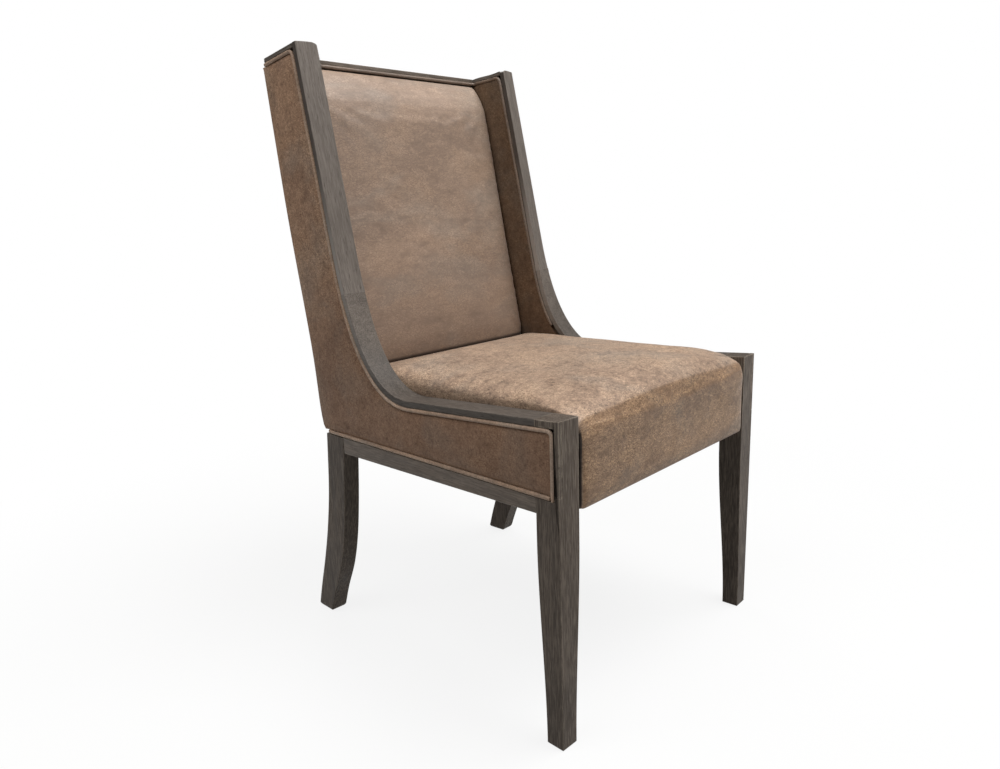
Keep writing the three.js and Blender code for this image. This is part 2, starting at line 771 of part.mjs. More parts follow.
// Welts
const weltLine = TRIM + WELT_ROOM / 2;
function sideWeltPath() {
  const post = STRIP_DEPTH + GAP + WELT_ROOM / 2;
  const line = behindRidge(-1, 2, weltLine, post);
  line[0] = [post, armTop(post) - weltLine];
  const top = line[line.length - 1];
  top[1] = wingTop(top[0]) - TOP_TRIM - WELT_ROOM / 2;
  const foot = [post, showTop(post) + GAP];
  const rearEnd = [633, wingTop(633) - TOP_TRIM - WELT_ROOM / 2];
  return [
    foot,
    ...rounded(foot, line[0], line[1], WELT_CORNER),
    ...line.slice(1, -1),
    ...rounded(line[line.length - 2], top, rearEnd, WELT_CORNER),
    rearEnd,
  ];
}

function sideWelt() {
  return tube(sideWeltPath().map(([u, z]) => new THREE.Vector3(1.6, u, z)), WELT_RADIUS);
}

function innerWelt() {
  const t = FRAME - 0.6;
  const height = (u) => wingTop(u) - TOP_TRIM - WELT_ROOM / 2;
  const line = behindRidge(0.5, 2, weltLine);
  const top = line[line.length - 1];
  top[1] = height(top[0]);
  const cornerDepth = 603;
  const corner = [cornerDepth, height(cornerDepth)];
  const under = TURN_FADE.map((deep) => [TOP_DEPTH + deep, height(TOP_DEPTH + deep)]);
  const half = [...line.slice(0, -1), ...rounded(line[line.length - 2], top, corner, WELT_CORNER), ...under];
  const wing = half.map(([u, z]) => onSide(...turned(t, u, z)));
  const inside = onSide(t + 6, cornerDepth + 0.5, corner[1]);
  const before = onSide(t, cornerDepth - 7, corner[1] + 0.8);
  const turn = onSide(t, cornerDepth + 0.5, corner[1]);
  const bend = new THREE.QuadraticBezierCurve3(before, turn, inside).getPoints(4);
  const right = [...wing, ...bend];
  return tube([...right, ...right.map(mirrored).reverse()], WELT_RADIUS);
}

function bottomWelt() {
  const t = 1.6;
  const height = (u) => showTop(u) + WELT_ROOM / 2;
  const start = STRIP_DEPTH + WELT_ROOM + 2 * GAP + 0.6;
  const corner = 532;
  const bend = new THREE.QuadraticBezierCurve3(
    onSide(t, corner - WELT_CORNER, height(corner)),
    onSide(t, corner, height(corner)),
    onSide(t + WELT_CORNER, corner, height(corner)),
  ).getPoints(5);
  const right = [onSide(t, start, height(start)), onSide(t, 270, height(270)), ...bend];
  return tube([...right, ...right.map(mirrored).reverse()], WELT_RADIUS);
}

// Cushions. Each starts as a profile carried across the chair in steps that crowd towards the sides, and
// every point is then moved for the crown and the rolled edges.
const crowd = (s) => Math.sin((s * Math.PI) / 2);
const roll = (s, half, radius) => {
  const over = Math.max(0, Math.abs(s) * half - (half - radius)) / radius;
  return radius * (1 - Math.sqrt(Math.max(0, 1 - over * over)));
};

function cushion(profile, steps, move) {
  const geometry = slab(profile, -1, 1, 0, steps);
  const places = geometry.getAttribute("position");
  for (let i = 0; i < places.count; i++) {
    const s = crowd(places.getX(i));
    const [x, y, z] = move(s, places.getY(i), places.getZ(i));
    places.setXYZ(i, x, y, z);
  }
  return geometry;
}

// Top of the seat at its sides, from the crease at the back to the front face, as points [y, z]
const SEAT_TOP = [
  [471.3, 477],
  [430, 479.6],
  [343, 482.1],
  [200, 484],
  [100, 485.4],
  [50, 481.9],
  [25, 476.7],
  [9, 470],
  [0, 462],
  [-4.5, 444],
];
const SEAT_FRONT = -4.5;
const SEAT_REAR = 463.5;
const SEAT_LIP = 342.5;
const SEAT_UNDER = RAIL_TOP + STRAP_THICKNESS + 3 * GAP;
const SEAT_CROWN = 10.2; // rise of the middle over the sides
const SEAT_ROLL = 12.6; // rolled edge along the arms
const SIDE_TIGHT = 6; // power that keeps a swell level between the sides
function seatCushion() {
  const { clamp, smoothstep } = THREE.MathUtils;
  const lipBack = FRONT_RAIL_FRONT - GAP;
  const profile = [
    ...smooth(SEAT_TOP, 27),
    [SEAT_FRONT, 400],
    [SEAT_FRONT, SEAT_LIP + 3],
    [SEAT_FRONT + 0.9, SEAT_LIP + 0.9],
    [SEAT_FRONT + 3, SEAT_LIP],
    [lipBack, SEAT_LIP],
    [lipBack, SEAT_UNDER],
    [SEAT_REAR, SEAT_UNDER],
    [SEAT_REAR, BACK_FOOT],
  ];
  return cushion(profile, 16, (s, y, z) => {
    const half = halfWidth(CUSHION_INSET, y);
    const up = smoothstep(z, SEAT_UNDER, 450);
    const drawn = 1.5 * Math.sin(Math.PI * clamp(y / SEAT_REAR, 0, 1)) * up;
    const crown = SEAT_CROWN * (1 - s * s) * (1 - smoothstep(y, 400, 470));
    const rolled = roll(s, half, SEAT_ROLL * (1 - 0.7 * smoothstep(y, 300, 400)));
    const lift = (crown - rolled) * up;
    const frontEdge = y < lipBack - 1 ? roll(s, half, 2.5) : 0;
    const aroundBack = BACK_SWELL * Math.abs(s) ** SIDE_TIGHT * smoothstep(y, 400, 470);
    return [s * (half - drawn), y + frontEdge + aroundBack, z + lift];
  });
}

function backCushion() {
  const rear = (z) => strapFace(z) - 0.8;
  const heights = [972, 964, 954, 942, 930, 918, 850, 780, 710, 640, 570, 500, BACK_FOOT];
  const profile = [
    [rear(BACK_FOOT), BACK_FOOT],
    [rear(BACK_TOP), BACK_TOP],
    [backFace(BACK_TOP) + 5, BACK_TOP],
    ...heights.map((z) => [backFace(z), z]),
  ];
  const { clamp, smoothstep } = THREE.MathUtils;
  return cushion(profile, 16, (s, y, z) => {
    const half = halfWidth(CUSHION_INSET, y);
    const isFront = y < rear(z) - 4;
    const drawn = 1.5 * Math.sin(Math.PI * clamp((z - 420) / (BACK_TOP - 400), 0, 1));
    const swell = BACK_SWELL * (1 - Math.abs(s) ** SIDE_TIGHT) * (1 - smoothstep(z, 900, BACK_TOP));
    const turn = Math.min(roll(s, half, 10), 8);
    return [s * (half - drawn), y + (isFront ? turn - swell : 0), z];
  });
}

// Assembly
const chair = new THREE.Group();
const seated = new THREE.Group();
chair.add(seated);

function place(group, name, piece, material) {
  const geometry = piece.isBufferGeometry ? piece : surface(piece);
  const mesh = new THREE.Mesh(geometry, material);
  mesh.name = name;
  group.add(mesh);
  return mesh;
}

const sidePieces = [
  ["front_leg", frontLeg(), showWood],
  ["post_strip", postStrip(), showWood],
  ["rear_leg", rearLeg(), showWood],
  ["side_rail", sideRail(), showWood],
  ["arm", arm(), showWood],
  ["wing_stile", wingStile(), showWood],
  ["wing_top", wingTopTrim(), showWood],
  ["arm_dowel_upper", dowel(armDowels[0]), rawWood],
  ["arm_dowel_lower", dowel(armDowels[1]), rawWood],
  ["stile_dowel", dowel(stileDowel), rawWood],
  ["front_glide", glide().translate(FOOT_WIDTH / 2, FOOT_DEPTH / 2, 0), nylon],
  ["rear_glide", glide().translate(RAIL_INNER / 2, REAR_FOOT, 0), nylon],
  ["outer_panel", outerPanel(), leather],
  ["inner_panel", innerPanel(), leather],
  ["side_welt", sideWelt(), weltLeather],
];
const blockPieces = [
  ["front_corner_block", cornerBlock(FRONT_RAIL_BACK, 1, 12), rawWood],
  ["rear_corner_block", cornerBlock(REAR_RAIL_FRONT, -1, 28), rawWood],
];

for (const [side, sign] of [["right", 1], ["left", -1]]) {
  const half = new THREE.Group();
  half.scale.x = sign;
  const frame = new THREE.Group();
  frame.position.x = -FRONT_WIDTH / 2;
  frame.rotation.z = -SIDE_TAPER;
  half.add(frame);
  for (const [name, piece, material] of sidePieces) place(frame, `${name}_${side}`, piece, material);
  for (const [name, piece, material] of blockPieces) place(half, `${name}_${side}`, piece, material);
  seated.add(half);
}

place(seated, "front_rail", frontRail(), rawWood);
place(seated, "rear_rail", rearRail(), showWood);
place(seated, "back_top_rail", backTopRail(), showWood);
place(seated, "back_lower_rail", backLowerRail(), rawWood);
[-144, -48, 48, 144].forEach((x, i) => place(seated, `seat_strap_${i + 1}`, seatStrap(x), webbing));
[-110, 0, 110].forEach((x, i) => place(seated, `back_strap_${i + 1}`, backStrap(x), webbing));
place(seated, "dust_cover", dustCover(), cambric);
place(seated, "seat_cushion", seatCushion(), leather);
place(seated, "back_cushion", backCushion(), leather);
place(seated, "outside_back", outsideBack(), leather);
place(seated, "bottom_welt", bottomWelt(), weltLeather);
place(seated, "inner_welt", innerWelt(), weltLeather);

// The origin lies under the middle of the chair
chair.updateMatrixWorld(true);
const extent = new THREE.Box3().setFromObject(chair, true);
seated.position.y = -(extent.min.y + extent.max.y) / 2;

export default chair;
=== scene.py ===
import json
import math
from contextlib import contextmanager

import bmesh
import bpy
import numpy as np
from mathutils import Matrix, Vector


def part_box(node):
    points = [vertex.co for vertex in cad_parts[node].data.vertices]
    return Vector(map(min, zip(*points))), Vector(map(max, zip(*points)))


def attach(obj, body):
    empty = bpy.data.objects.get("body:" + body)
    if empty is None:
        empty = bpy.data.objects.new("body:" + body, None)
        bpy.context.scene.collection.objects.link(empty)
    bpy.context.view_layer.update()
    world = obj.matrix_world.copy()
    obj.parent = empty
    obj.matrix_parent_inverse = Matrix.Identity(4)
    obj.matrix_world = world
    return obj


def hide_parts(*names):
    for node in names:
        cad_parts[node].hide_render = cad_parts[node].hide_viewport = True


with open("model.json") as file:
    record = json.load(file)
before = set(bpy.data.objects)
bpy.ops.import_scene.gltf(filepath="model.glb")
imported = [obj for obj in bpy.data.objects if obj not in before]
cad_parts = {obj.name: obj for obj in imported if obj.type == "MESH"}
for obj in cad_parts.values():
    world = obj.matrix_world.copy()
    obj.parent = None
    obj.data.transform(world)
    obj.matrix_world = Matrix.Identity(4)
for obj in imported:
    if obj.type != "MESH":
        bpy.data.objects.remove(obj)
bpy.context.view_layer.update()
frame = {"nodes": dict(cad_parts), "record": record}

MM = 0.001
FRONT_WIDTH = 546.0
TAPER = math.radians(1.97)
STRAP_FRONT = 14.5  # the seat straps start this far behind the front edge of the posts
Y0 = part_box("seat_strap_1")[0].y / MM - STRAP_FRONT

FRAME = 40.0  # width of the show-wood faces
TRIM = 10.0  # thickness of the show wood beside the panels
WEB = 24.0  # height of the hidden web under it
CORE_OUT = 11.0  # the side frame's core, from here
CORE_IN = 31.0  # to here
EASE = 1.1  # rounding of the arrises
WORN_EASE = 6.0  # so many times more where an edge is worn
SHARP = math.radians(32)
ARRIS = 2.7  # how far in the stain is rubbed
ARM_HEIGHT = 473.4
ARM_FALL = 0.0675
SWOOP_START = 303.0
SWOOP_START_PULL = 77.0
SWOOP_END = 665.0
SWOOP_END_PULL = 142.0
JOINT_HEIGHT = 608.0  # butt joint of arm and wing stile
TOP_HEIGHT = 1000.0
TOP_DEPTH = 532.4
WING_RAKE = 0.206
TOP_FALL = 0.1214
TOP_REAR = 631.3
TOP_TRIM = 6.8
WING_TURN = 7.6
WING_NARROW = 4.0
TURN_HEIGHTS = (480.0, 650.0)
TURN_FADE = (36.0, 58.0)
POST_DEPTH = 41.0
FOOT_WIDTH = 29.5
FOOT_DEPTH = 29.0
TAPER_TOP = 310.0
STRIP_DEPTH = 8.0
STRIP_THICKNESS = 5.5
STRIP_FOOT = 372.0
RAIL_BOTTOM = 342.4
RAIL_FALL = 0.0227
SHOW_TOP = 364.5
SHOW_FALL = 0.0085
RAIL_TOP = 402.0
REAR_RAIL_FRONT = 508.0
REAR_RAIL_STEP = 526.0
REAR_RAIL_BACK = 536.0
REAR_LEG_FRONT = 486.0
LEG_END = 0.6
WELT_RADIUS = 2.95
WELT_DEPTH = 0.9
WELT_ROOM = 7.0
WELT_CORNER = 7.5
PANEL_CORNER = 4.5
WELT_STEP = 3.0
GAP = 0.3  # between pieces that touch
SEAM = 0.1  # between pieces whose joint must not show as a gap
BACK_LEVEL = 479.0
BACK_FACE = 481.7
BACK_RAKE = 0.1887
BACK_SWELL = 9.0
BACK_TURN = 918.0
BACK_TURN_RADIUS = 86.0
BACK_TOP = 976.5
BACK_FOOT = 440.0
BACK_PANEL = 9.3  # thickness of the outside back
CAP_FRONT = 603.0  # front edge of the top rail


def arm_top(u):
    return ARM_HEIGHT - ARM_FALL * u


def wing_top(u):
    return TOP_HEIGHT - TOP_FALL * (u - TOP_DEPTH)


def rail_bottom(y):
    return RAIL_BOTTOM - RAIL_FALL * y


def show_top(u):
    return SHOW_TOP - SHOW_FALL * u


def wing_front(z):
    return TOP_DEPTH - WING_RAKE * (TOP_HEIGHT - z)


def back_face(z):
    over = np.clip(np.asarray(z, float) - BACK_TURN, 0, None)
    turn = BACK_TURN_RADIUS - np.sqrt(BACK_TURN_RADIUS**2 - over**2)
    return BACK_FACE + BACK_RAKE * (z - BACK_LEVEL) + turn


def strap_face(z):
    return 497 + 0.23 * (z - 480)


def fade(x, low, high):
    k = np.clip((np.asarray(x, float) - low) / (high - low), 0, 1)
    return k * k * (3 - 2 * k)


def catmull(knots, steps):
    """Points of a smooth curve through the knots."""
    p = np.array(knots, float)
    p = np.vstack([2 * p[0] - p[1], p, 2 * p[-1] - p[-2]])
    out = []
    for k in np.linspace(0, len(knots) - 1, steps + 1):
        i = min(int(k), len(knots) - 2)
        f = k - i
        a, b, c, d = p[i : i + 4]
        square, cube = 2 * a - 5 * b + 4 * c - d, 3 * b - a - 3 * c + d
        out.append(0.5 * (2 * b + (c - a) * f + square * f**2 + cube * f**3))
    return np.array(out)


# The front edge of arm and wing, with its direction at every point
def unit(v):
    v = np.array(v, float)
    return v / np.linalg.norm(v)


ARM_WAY = unit((1, -ARM_FALL))
WING_WAY = unit((WING_RAKE, 1))
P0 = np.array((SWOOP_START, arm_top(SWOOP_START)))
P3 = np.array((TOP_DEPTH - WING_RAKE * (TOP_HEIGHT - SWOOP_END), SWOOP_END))
P1 = P0 + ARM_WAY * SWOOP_START_PULL
P2 = P3 - WING_WAY * SWOOP_END_PULL


def swoop(k):
    m = 1 - k
    at = m**3 * P0 + 3 * m * m * k * P1 + 3 * m * k * k * P2 + k**3 * P3
    way = unit(m * m * (P1 - P0) + 2 * m * k * (P2 - P1) + k * k * (P3 - P2))
    return at, way


JOINT = next(k for k in np.linspace(0, 1, 4001) if swoop(k)[0][1] >= JOINT_HEIGHT)


def ridge(start, end, first_depth=0.0):
    """[(point, direction)]; -1 adds the straight arm before the swoop and 2 the straight wing after it."""
    out = []
    if start < 0:
        out += [(np.array((u, arm_top(u))), ARM_WAY) for u in np.linspace(first_depth, SWOOP_START, 12)[:-1]]
    low, high = max(start, 0), min(end, 1)
    out += [swoop(k) for k in np.linspace(low, high, max(3, int(44 * (high - low))))]
    if end > 1:
        top = np.array((TOP_DEPTH, TOP_HEIGHT))
        out += [(P3 + (top - P3) * k, WING_WAY) for k in np.linspace(0, 1, 14)[1:]]
    return out


def behind(points, distance):
    return np.array([(at[0] + way[1] * distance, at[1] - way[0] * distance) for at, way in points])


REAR = catmull([(541, 366), (549, 405), (561, 513), (598, 717), (620, 866), (637, 990)], 120)


def rear_at(z):
    return np.interp(z, REAR[:, 1], REAR[:, 0])


def curve(a, b, c, steps):
    """Points of a quadratic curve from a to c, drawn towards b."""
    return np.array([(1 - k) ** 2 * a + 2 * k * (1 - k) * b + k * k * c for k in np.linspace(0, 1, steps)])


def corner(before, at, after, radius):
    """A rounded corner as points."""
    at = np.array(at, float)
    a = at + unit(np.array(before) - at) * radius
    b = at + unit(np.array(after) - at) * radius
    return [tuple(p) for p in curve(a, at, b, 7)]


def turned(tuz):
    """Side points with the wing's face turned out: its inner arris comes forward and it narrows."""
    t, u, z = np.asarray(tuz, float).T
    share = fade(z, *TURN_HEIGHTS) * (1 - fade(u - wing_front(z), *TURN_FADE))
    across = np.clip((t - CORE_OUT) / (FRAME - CORE_OUT), 0, 1)
    return np.stack([t - WING_NARROW * share * across, u - WING_TURN * share * t / FRAME, z], 1)


# Places in the row frame; every piece is made for the sitter's right side and mirrored
def place(tuz):
    t, u, z = np.asarray(tuz, float).T
    x = -FRONT_WIDTH / 2 + u * math.sin(TAPER) + t * math.cos(TAPER)
    y = u * math.cos(TAPER) - t * math.sin(TAPER) + Y0
    return np.stack([x, y, z], 1)


def half_width(t, y):
    """Half the clear width between the planes at depth t, at a place y behind the posts' front edge."""
    u = (y + t * math.sin(TAPER)) / math.cos(TAPER)
    return FRONT_WIDTH / 2 - u * math.sin(TAPER) - t * math.cos(TAPER)


SIDES = (("right", 1), ("left", -1))
POST_BACK_Y = Y0 + POST_DEPTH * math.cos(TAPER)


# Mesh makers
def put(thing, **values):
    for key, value in values.items():
        setattr(thing, key, value)
    return thing


def modifier(obj, kind, **values):
    return put(obj.modifiers.new(kind.lower(), kind), **values)


def linked(name, data):
    obj = bpy.data.objects.new(name, data)
    bpy.context.scene.collection.objects.link(obj)
    return obj


def piece(name, points, faces, mirror=1):
    mesh = bpy.data.meshes.new(name)
    points = np.asarray(points, float) * MM * (mirror, 1, 1)
    if mirror < 0:
        faces = [tuple(reversed(f)) for f in faces]
    mesh.from_pydata([tuple(p) for p in points], [], faces)
    mesh.validate()
    return linked(name, mesh)


def placed(name, shell, mirror):
    """A piece from a shell in side axes."""
    return piece(name, place(shell[0]), shell[1], mirror)


def capped(rings):
    """A closed shell from rings of points with one count: (points, faces)."""
    count = len(rings[0])
    faces = []
    for r in range(len(rings) - 1):
        a, b = r * count, (r + 1) * count
        for i in range(count):
            j = (i + 1) % count
            faces.append((a + i, a + j, b + j, b + i))
    faces.append(tuple(reversed(range(count))))
    faces.append(tuple((len(rings) - 1) * count + i for i in range(count)))
    return np.concatenate(rings), faces


def joined(*shells):
    points, faces, first = [], [], 0
    for p, f in shells:
        points.append(p)
        faces += [tuple(first + i for i in face) for face in f]
        first += len(p)
    return np.concatenate(points), faces


def slab(outline, t0, t1):
    """A prism of an outline of (u, z) points between two depths, in side axes."""
    outline = [tuple(p) for p in outline]
    return capped([np.array([(t, u, z) for u, z in outline]) for t in (t0, t1)])


def swept(points, ring):
    """Rings that carry one ring of (t, d) along ridge points, d behind the ridge."""
    return [np.array([(t, at[0] + way[1] * d, at[1] - way[0] * d) for t, d in ring]) for at, way in points]


@contextmanager
def edited(obj):
    """The object's mesh as a bmesh that is written back at the end."""
    bm = bmesh.new()
    bm.from_mesh(obj.data)
    yield bm
    bm.to_mesh(obj.data)
    bm.free()


def outward(obj):
    with edited(obj) as bm:
        bmesh.ops.recalc_face_normals(bm, faces=bm.faces)


def smooth(obj, angle=None):
    """Shades smooth, with sharp edges over an angle in degrees."""
    for p in obj.data.polygons:
        p.use_smooth = True
    if angle:
        obj.data.set_sharp_from_angle(angle=math.radians(angle))


def bake(obj):
    """Applies the object's modifiers."""
    graph = bpy.context.evaluated_depsgraph_get()
    mesh = bpy.data.meshes.new_from_object(obj.evaluated_get(graph))
    obj.modifiers.clear()
    old = obj.data
    obj.data = mesh
    bpy.data.meshes.remove(old)


def eased(obj, width=EASE, plain=None, segments=3, worn=None):
    """Rounds every sharp edge, more where worn says so and not where plain does, and shades smooth."""
    outward(obj)
    with edited(obj) as bm:
        weight = bm.edges.layers.float.new("bevel_weight_edge")
        for e in bm.edges:
            sharp = len(e.link_faces) == 2 and e.calc_face_angle() > SHARP
            middle = (e.verts[0].co + e.verts[1].co) / 2 / MM
            left = bool(plain and plain(middle))
            share = 1.0 if not worn or worn(middle) else 1.0 / WORN_EASE
            e[weight] = share if sharp and not left else 0.0
            e.smooth = not (sharp and left)
    smooth(obj)
    width *= (WORN_EASE if worn else 1.0) * MM
    mod = modifier(obj, "BEVEL", width=width, segments=segments, limit_method="WEIGHT", harden_normals=True)
    mod.use_clamp_overlap = worn is None
    return obj


def dress(obj, material, slot, *nodes):
    obj.data.materials.append(material)
    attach(obj, "root")
    if nodes:
        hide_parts(*nodes)
    return obj


# Materials
class Nodes:
    """Short names for making the nodes of a material or a world."""

    def __init__(self, owner):
        owner.use_nodes = True
        self.owner = owner
        self.tree = owner.node_tree
        self.shader = self.tree.nodes.get("Principled BSDF")

    def add(self, kind, inputs=None, **settings):
        """Makes a node and gives its outputs."""
        node = put(self.tree.nodes.new("ShaderNode" + kind), **settings)
        for key, value in (inputs or {}).items():
            self.feed(node.inputs[key], value)
        return node.outputs

    def feed(self, socket, value):
        if isinstance(value, bpy.types.NodeSocket):
            self.tree.links.new(value, socket)
        else:
            socket.default_value = value

    def set(self, **inputs):
        """Sets the shader's inputs, whose names are written with _ for a space, and gives the material."""
        for key, value in inputs.items():
            self.feed(self.shader.inputs[key.replace("_", " ")], value)
        return self.owner

    def noise(self, vector, scale, detail, rough=0.5, distortion=0.0):
        inputs = {"Vector": vector, "Scale": scale, "Detail": detail}
        inputs |= {"Roughness": rough, "Distortion": distortion}
        return self.add("TexNoise", inputs)["Fac"]

    def math(self, operation, a, b=0.0):
        return self.add("Math", {0: a, 1: b}, operation=operation)[0]

    def plus(self, a, b):
        return self.math("ADD", a, b)

    def less(self, a, b):
        return self.math("SUBTRACT", a, b)

    def times(self, a, b):
        return self.math("MULTIPLY", a, b)

    def ramp(self, fac, low, high, to_low=0.0, to_high=1.0):
        inputs = {"Value": fac, "From Min": low, "From Max": high, "To Min": to_low, "To Max": to_high}
        return self.add("MapRange", inputs, interpolation_type="SMOOTHSTEP")["Result"]

    def mix(self, fac, a, b, blend="MIX"):
        inputs = {0: fac, 6: a, 7: b}
        return self.add("Mix", data_type="RGBA", blend_type=blend, inputs=inputs)[2]

    def mapped(self, scale=(1, 1, 1), rotation=(0, 0, 0), offset=(0, 0, 0)):
        coords = self.add("TexCoord")["Object"]
        turn = self.add("Mapping", {"Vector": coords, "Rotation": rotation})["Vector"]
        inputs = {"Vector": turn, "Scale": scale, "Location": offset}
        return self.add("Mapping", inputs)["Vector"]

    def axes(self, vector):
        return self.add("SeparateXYZ", {0: vector})

    def bump(self, height, strength, distance, normal=None):
        inputs = {"Height": height, "Strength": strength, "Distance": distance}
        if normal is not None:
            inputs["Normal"] = normal
        return self.add("Bump", inputs)["Normal"]


def material_nodes(name):
    return Nodes(bpy.data.materials.new(name))


def rgb(r, g, b, tone=1.0, rich=1.0):
    """A colour given as 11 to 255 in sRGB, times tone, and greyer the lower rich is."""
    linear = [((c / 255 + 0.055) / 1.055) ** 2.4 for c in (r, g, b)]
    grey = sum(linear) / 3
    return (*(tone * (grey + (c - grey) * rich) for c in linear), 1.0)


def wood(
    name, tilt, seed, tone, streaky, gloss=0.25, fibre=1.0, flank_shade=0.0, rich=1.0,
    light_and_wear_rise=(0.47, 0.6, 1.0), worn=(0.5, 0.5), top=1.0, flank_light=0.0,
):
    """Stained wood whose grain runs along the local Z axis after the tilt.

    From height light_and_wear_rise[0] to light_and_wear_rise[1] its tone rises by the factor
    light_and_wear_rise[2], which is painted light, and its arrises' rubbing goes from worn[0] to worn[1]. top is
    the tone of what faces up; flank_shade paints shade on the outer flank up the wing and flank_light paints light
    on it above the arm.
    """
    n = material_nodes(name)

    def stain(share, *colour):
        nonlocal base
        base = n.mix(share, base, rgb(*colour, tone, rich))

    streaks = n.noise(n.mapped((26, 26, 2.2), tilt, (seed, 0.3 * seed, 0)), 4.0, 5.0, 0.62, 0.35)
    fine = n.noise(n.mapped((230, 230, 15), tilt, (seed, 0, 0)), 2.2, 4.0, 0.6, 0.15)
    pores = n.noise(n.mapped((480, 480, 36), tilt, (0, seed, 0)), 2.0, 2.0, 0.5)
    cloud = n.noise(n.mapped((7, 7, 3), tilt, (seed, seed, seed)), 2.0, 3.0)
    tones = n.plus(n.times(streaks, 0.55), n.times(cloud, 0.45))
    spread = 0.14 / streaky
    base = rgb(102, 92, 83, tone, rich)
    stain(n.ramp(tones, 0.5 - spread, 0.5 + spread), 130, 118, 107)
    stain(n.ramp(fine, 0.42, 0.62, 0.0, 0.4 * fibre), 76, 67, 59)
    stain(n.ramp(fine, 0.5, 0.36, 0.0, 0.25 * fibre), 146, 134, 122)
    pore = n.ramp(pores, 0.58, 0.68)
    stain(n.times(pore, 0.5), 58, 50, 43)
    # Arrises are rubbed a little lighter: there the rounded normal leaves the true one
    geometry = n.add("NewGeometry")
    rounded = n.add("Bevel", {"Radius": ARRIS * MM}, samples=4)["Normal"]
    along = n.add("VectorMath", {0: rounded, 1: geometry["Normal"]}, operation="DOT_PRODUCT")["Value"]
    edge = n.ramp(along, 0.985, 0.9)
    patchy = n.ramp(n.noise(n.mapped((30, 30, 30)), 3.0, 3.0), 0.3, 0.6)
    height = n.axes(n.mapped())["Z"]
    faced = n.axes(geometry["True Normal"])
    stain(n.times(n.times(edge, patchy), n.ramp(height, light_and_wear_rise[0], light_and_wear_rise[1], *worn)), 184, 171, 155)
    base = n.mix(1.0, base, n.ramp(faced["Z"], 0.8, 0.95, 1.0, top), "MULTIPLY")
    flank = n.ramp(n.math("ABSOLUTE", faced["X"]), 0.8, 0.95)
    # Painted shade: the outer flank is darker up the wing
    stain(n.times(flank, n.ramp(height, 0.62, 0.85, 0.0, flank_shade)), 48, 38, 31)
    # Painted light: the outer flank is lighter just above the arm
    light = n.times(n.ramp(height, 0.455, 0.5), n.ramp(height, 0.85, 0.62, 0.0, flank_light))
    stain(n.times(flank, light), 176, 166, 156)
    # Painted light: the tone rises with height
    base = n.mix(1.0, base, n.ramp(height, light_and_wear_rise[0], light_and_wear_rise[1], 1.0, light_and_wear_rise[2]), "MULTIPLY")
    return n.set(
        Base_Color=base,
        Roughness=n.ramp(n.plus(streaks, n.times(fine, 0.5)), 0.5, 1.1, 0.4, 0.56),
        Normal=n.bump(n.less(n.times(fine, 0.6), pore), 0.35, 0.0004),
        Specular_IOR_Level=gloss,
    )


ALONG_Y = (math.pi / 2, 0, 0)
ALONG_X = (0, math.pi / 2, 0)
wood_up = wood(
    "stained_wood_up", (0, 0, 0), 1.0, 0.85, 1.2, 0.12, 1.6, light_and_wear_rise=(0.3, 0.45, 1.24), worn=(0.4, 1.0), top=0.6
)
ALONG_WING = (math.atan(WING_RAKE), 0, 0)
wood_wing = wood(
    "stained_wood_wing", ALONG_WING, 4.2, 1.16, 0.35, 0.18, 0.7, 0.6, 0.7, worn=(0.1, 0.1), flank_light=0.6
)
wood_arm = wood(
    "stained_wood_arm", ALONG_Y, 5.3, 0.56, 0.9, 0.2, rich=0.78, light_and_wear_rise=(0.47, 0.6, 1.8), worn=(0.5, 0), flank_light=0.5
)
wood_back = wood("stained_wood_back", ALONG_Y, 2.1, 1.1, 0.9)
wood_across = wood("stained_wood_across", ALONG_X, 3.3, 1.0, 0.8)


def raw_wood():
    """Unstained hardwood of the hidden frame."""
    n = material_nodes("raw_wood")
    streaks = n.noise(n.mapped((1.6, 18, 18), offset=(5.7, 2, 0)), 5.0, 5.0, 0.6, 0.3)
    fine = n.noise(n.mapped((9, 260, 260)), 2.0, 4.0, 0.6)
    base = n.mix(n.ramp(streaks, 0.36, 0.64), rgb(160, 122, 80), rgb(206, 174, 128))
    base = n.mix(n.ramp(fine, 0.45, 0.65, 0.0, 0.4), base, rgb(138, 102, 66))
    return n.set(Base_Color=base, Normal=n.bump(fine, 0.3, 0.0004), Roughness=0.68)


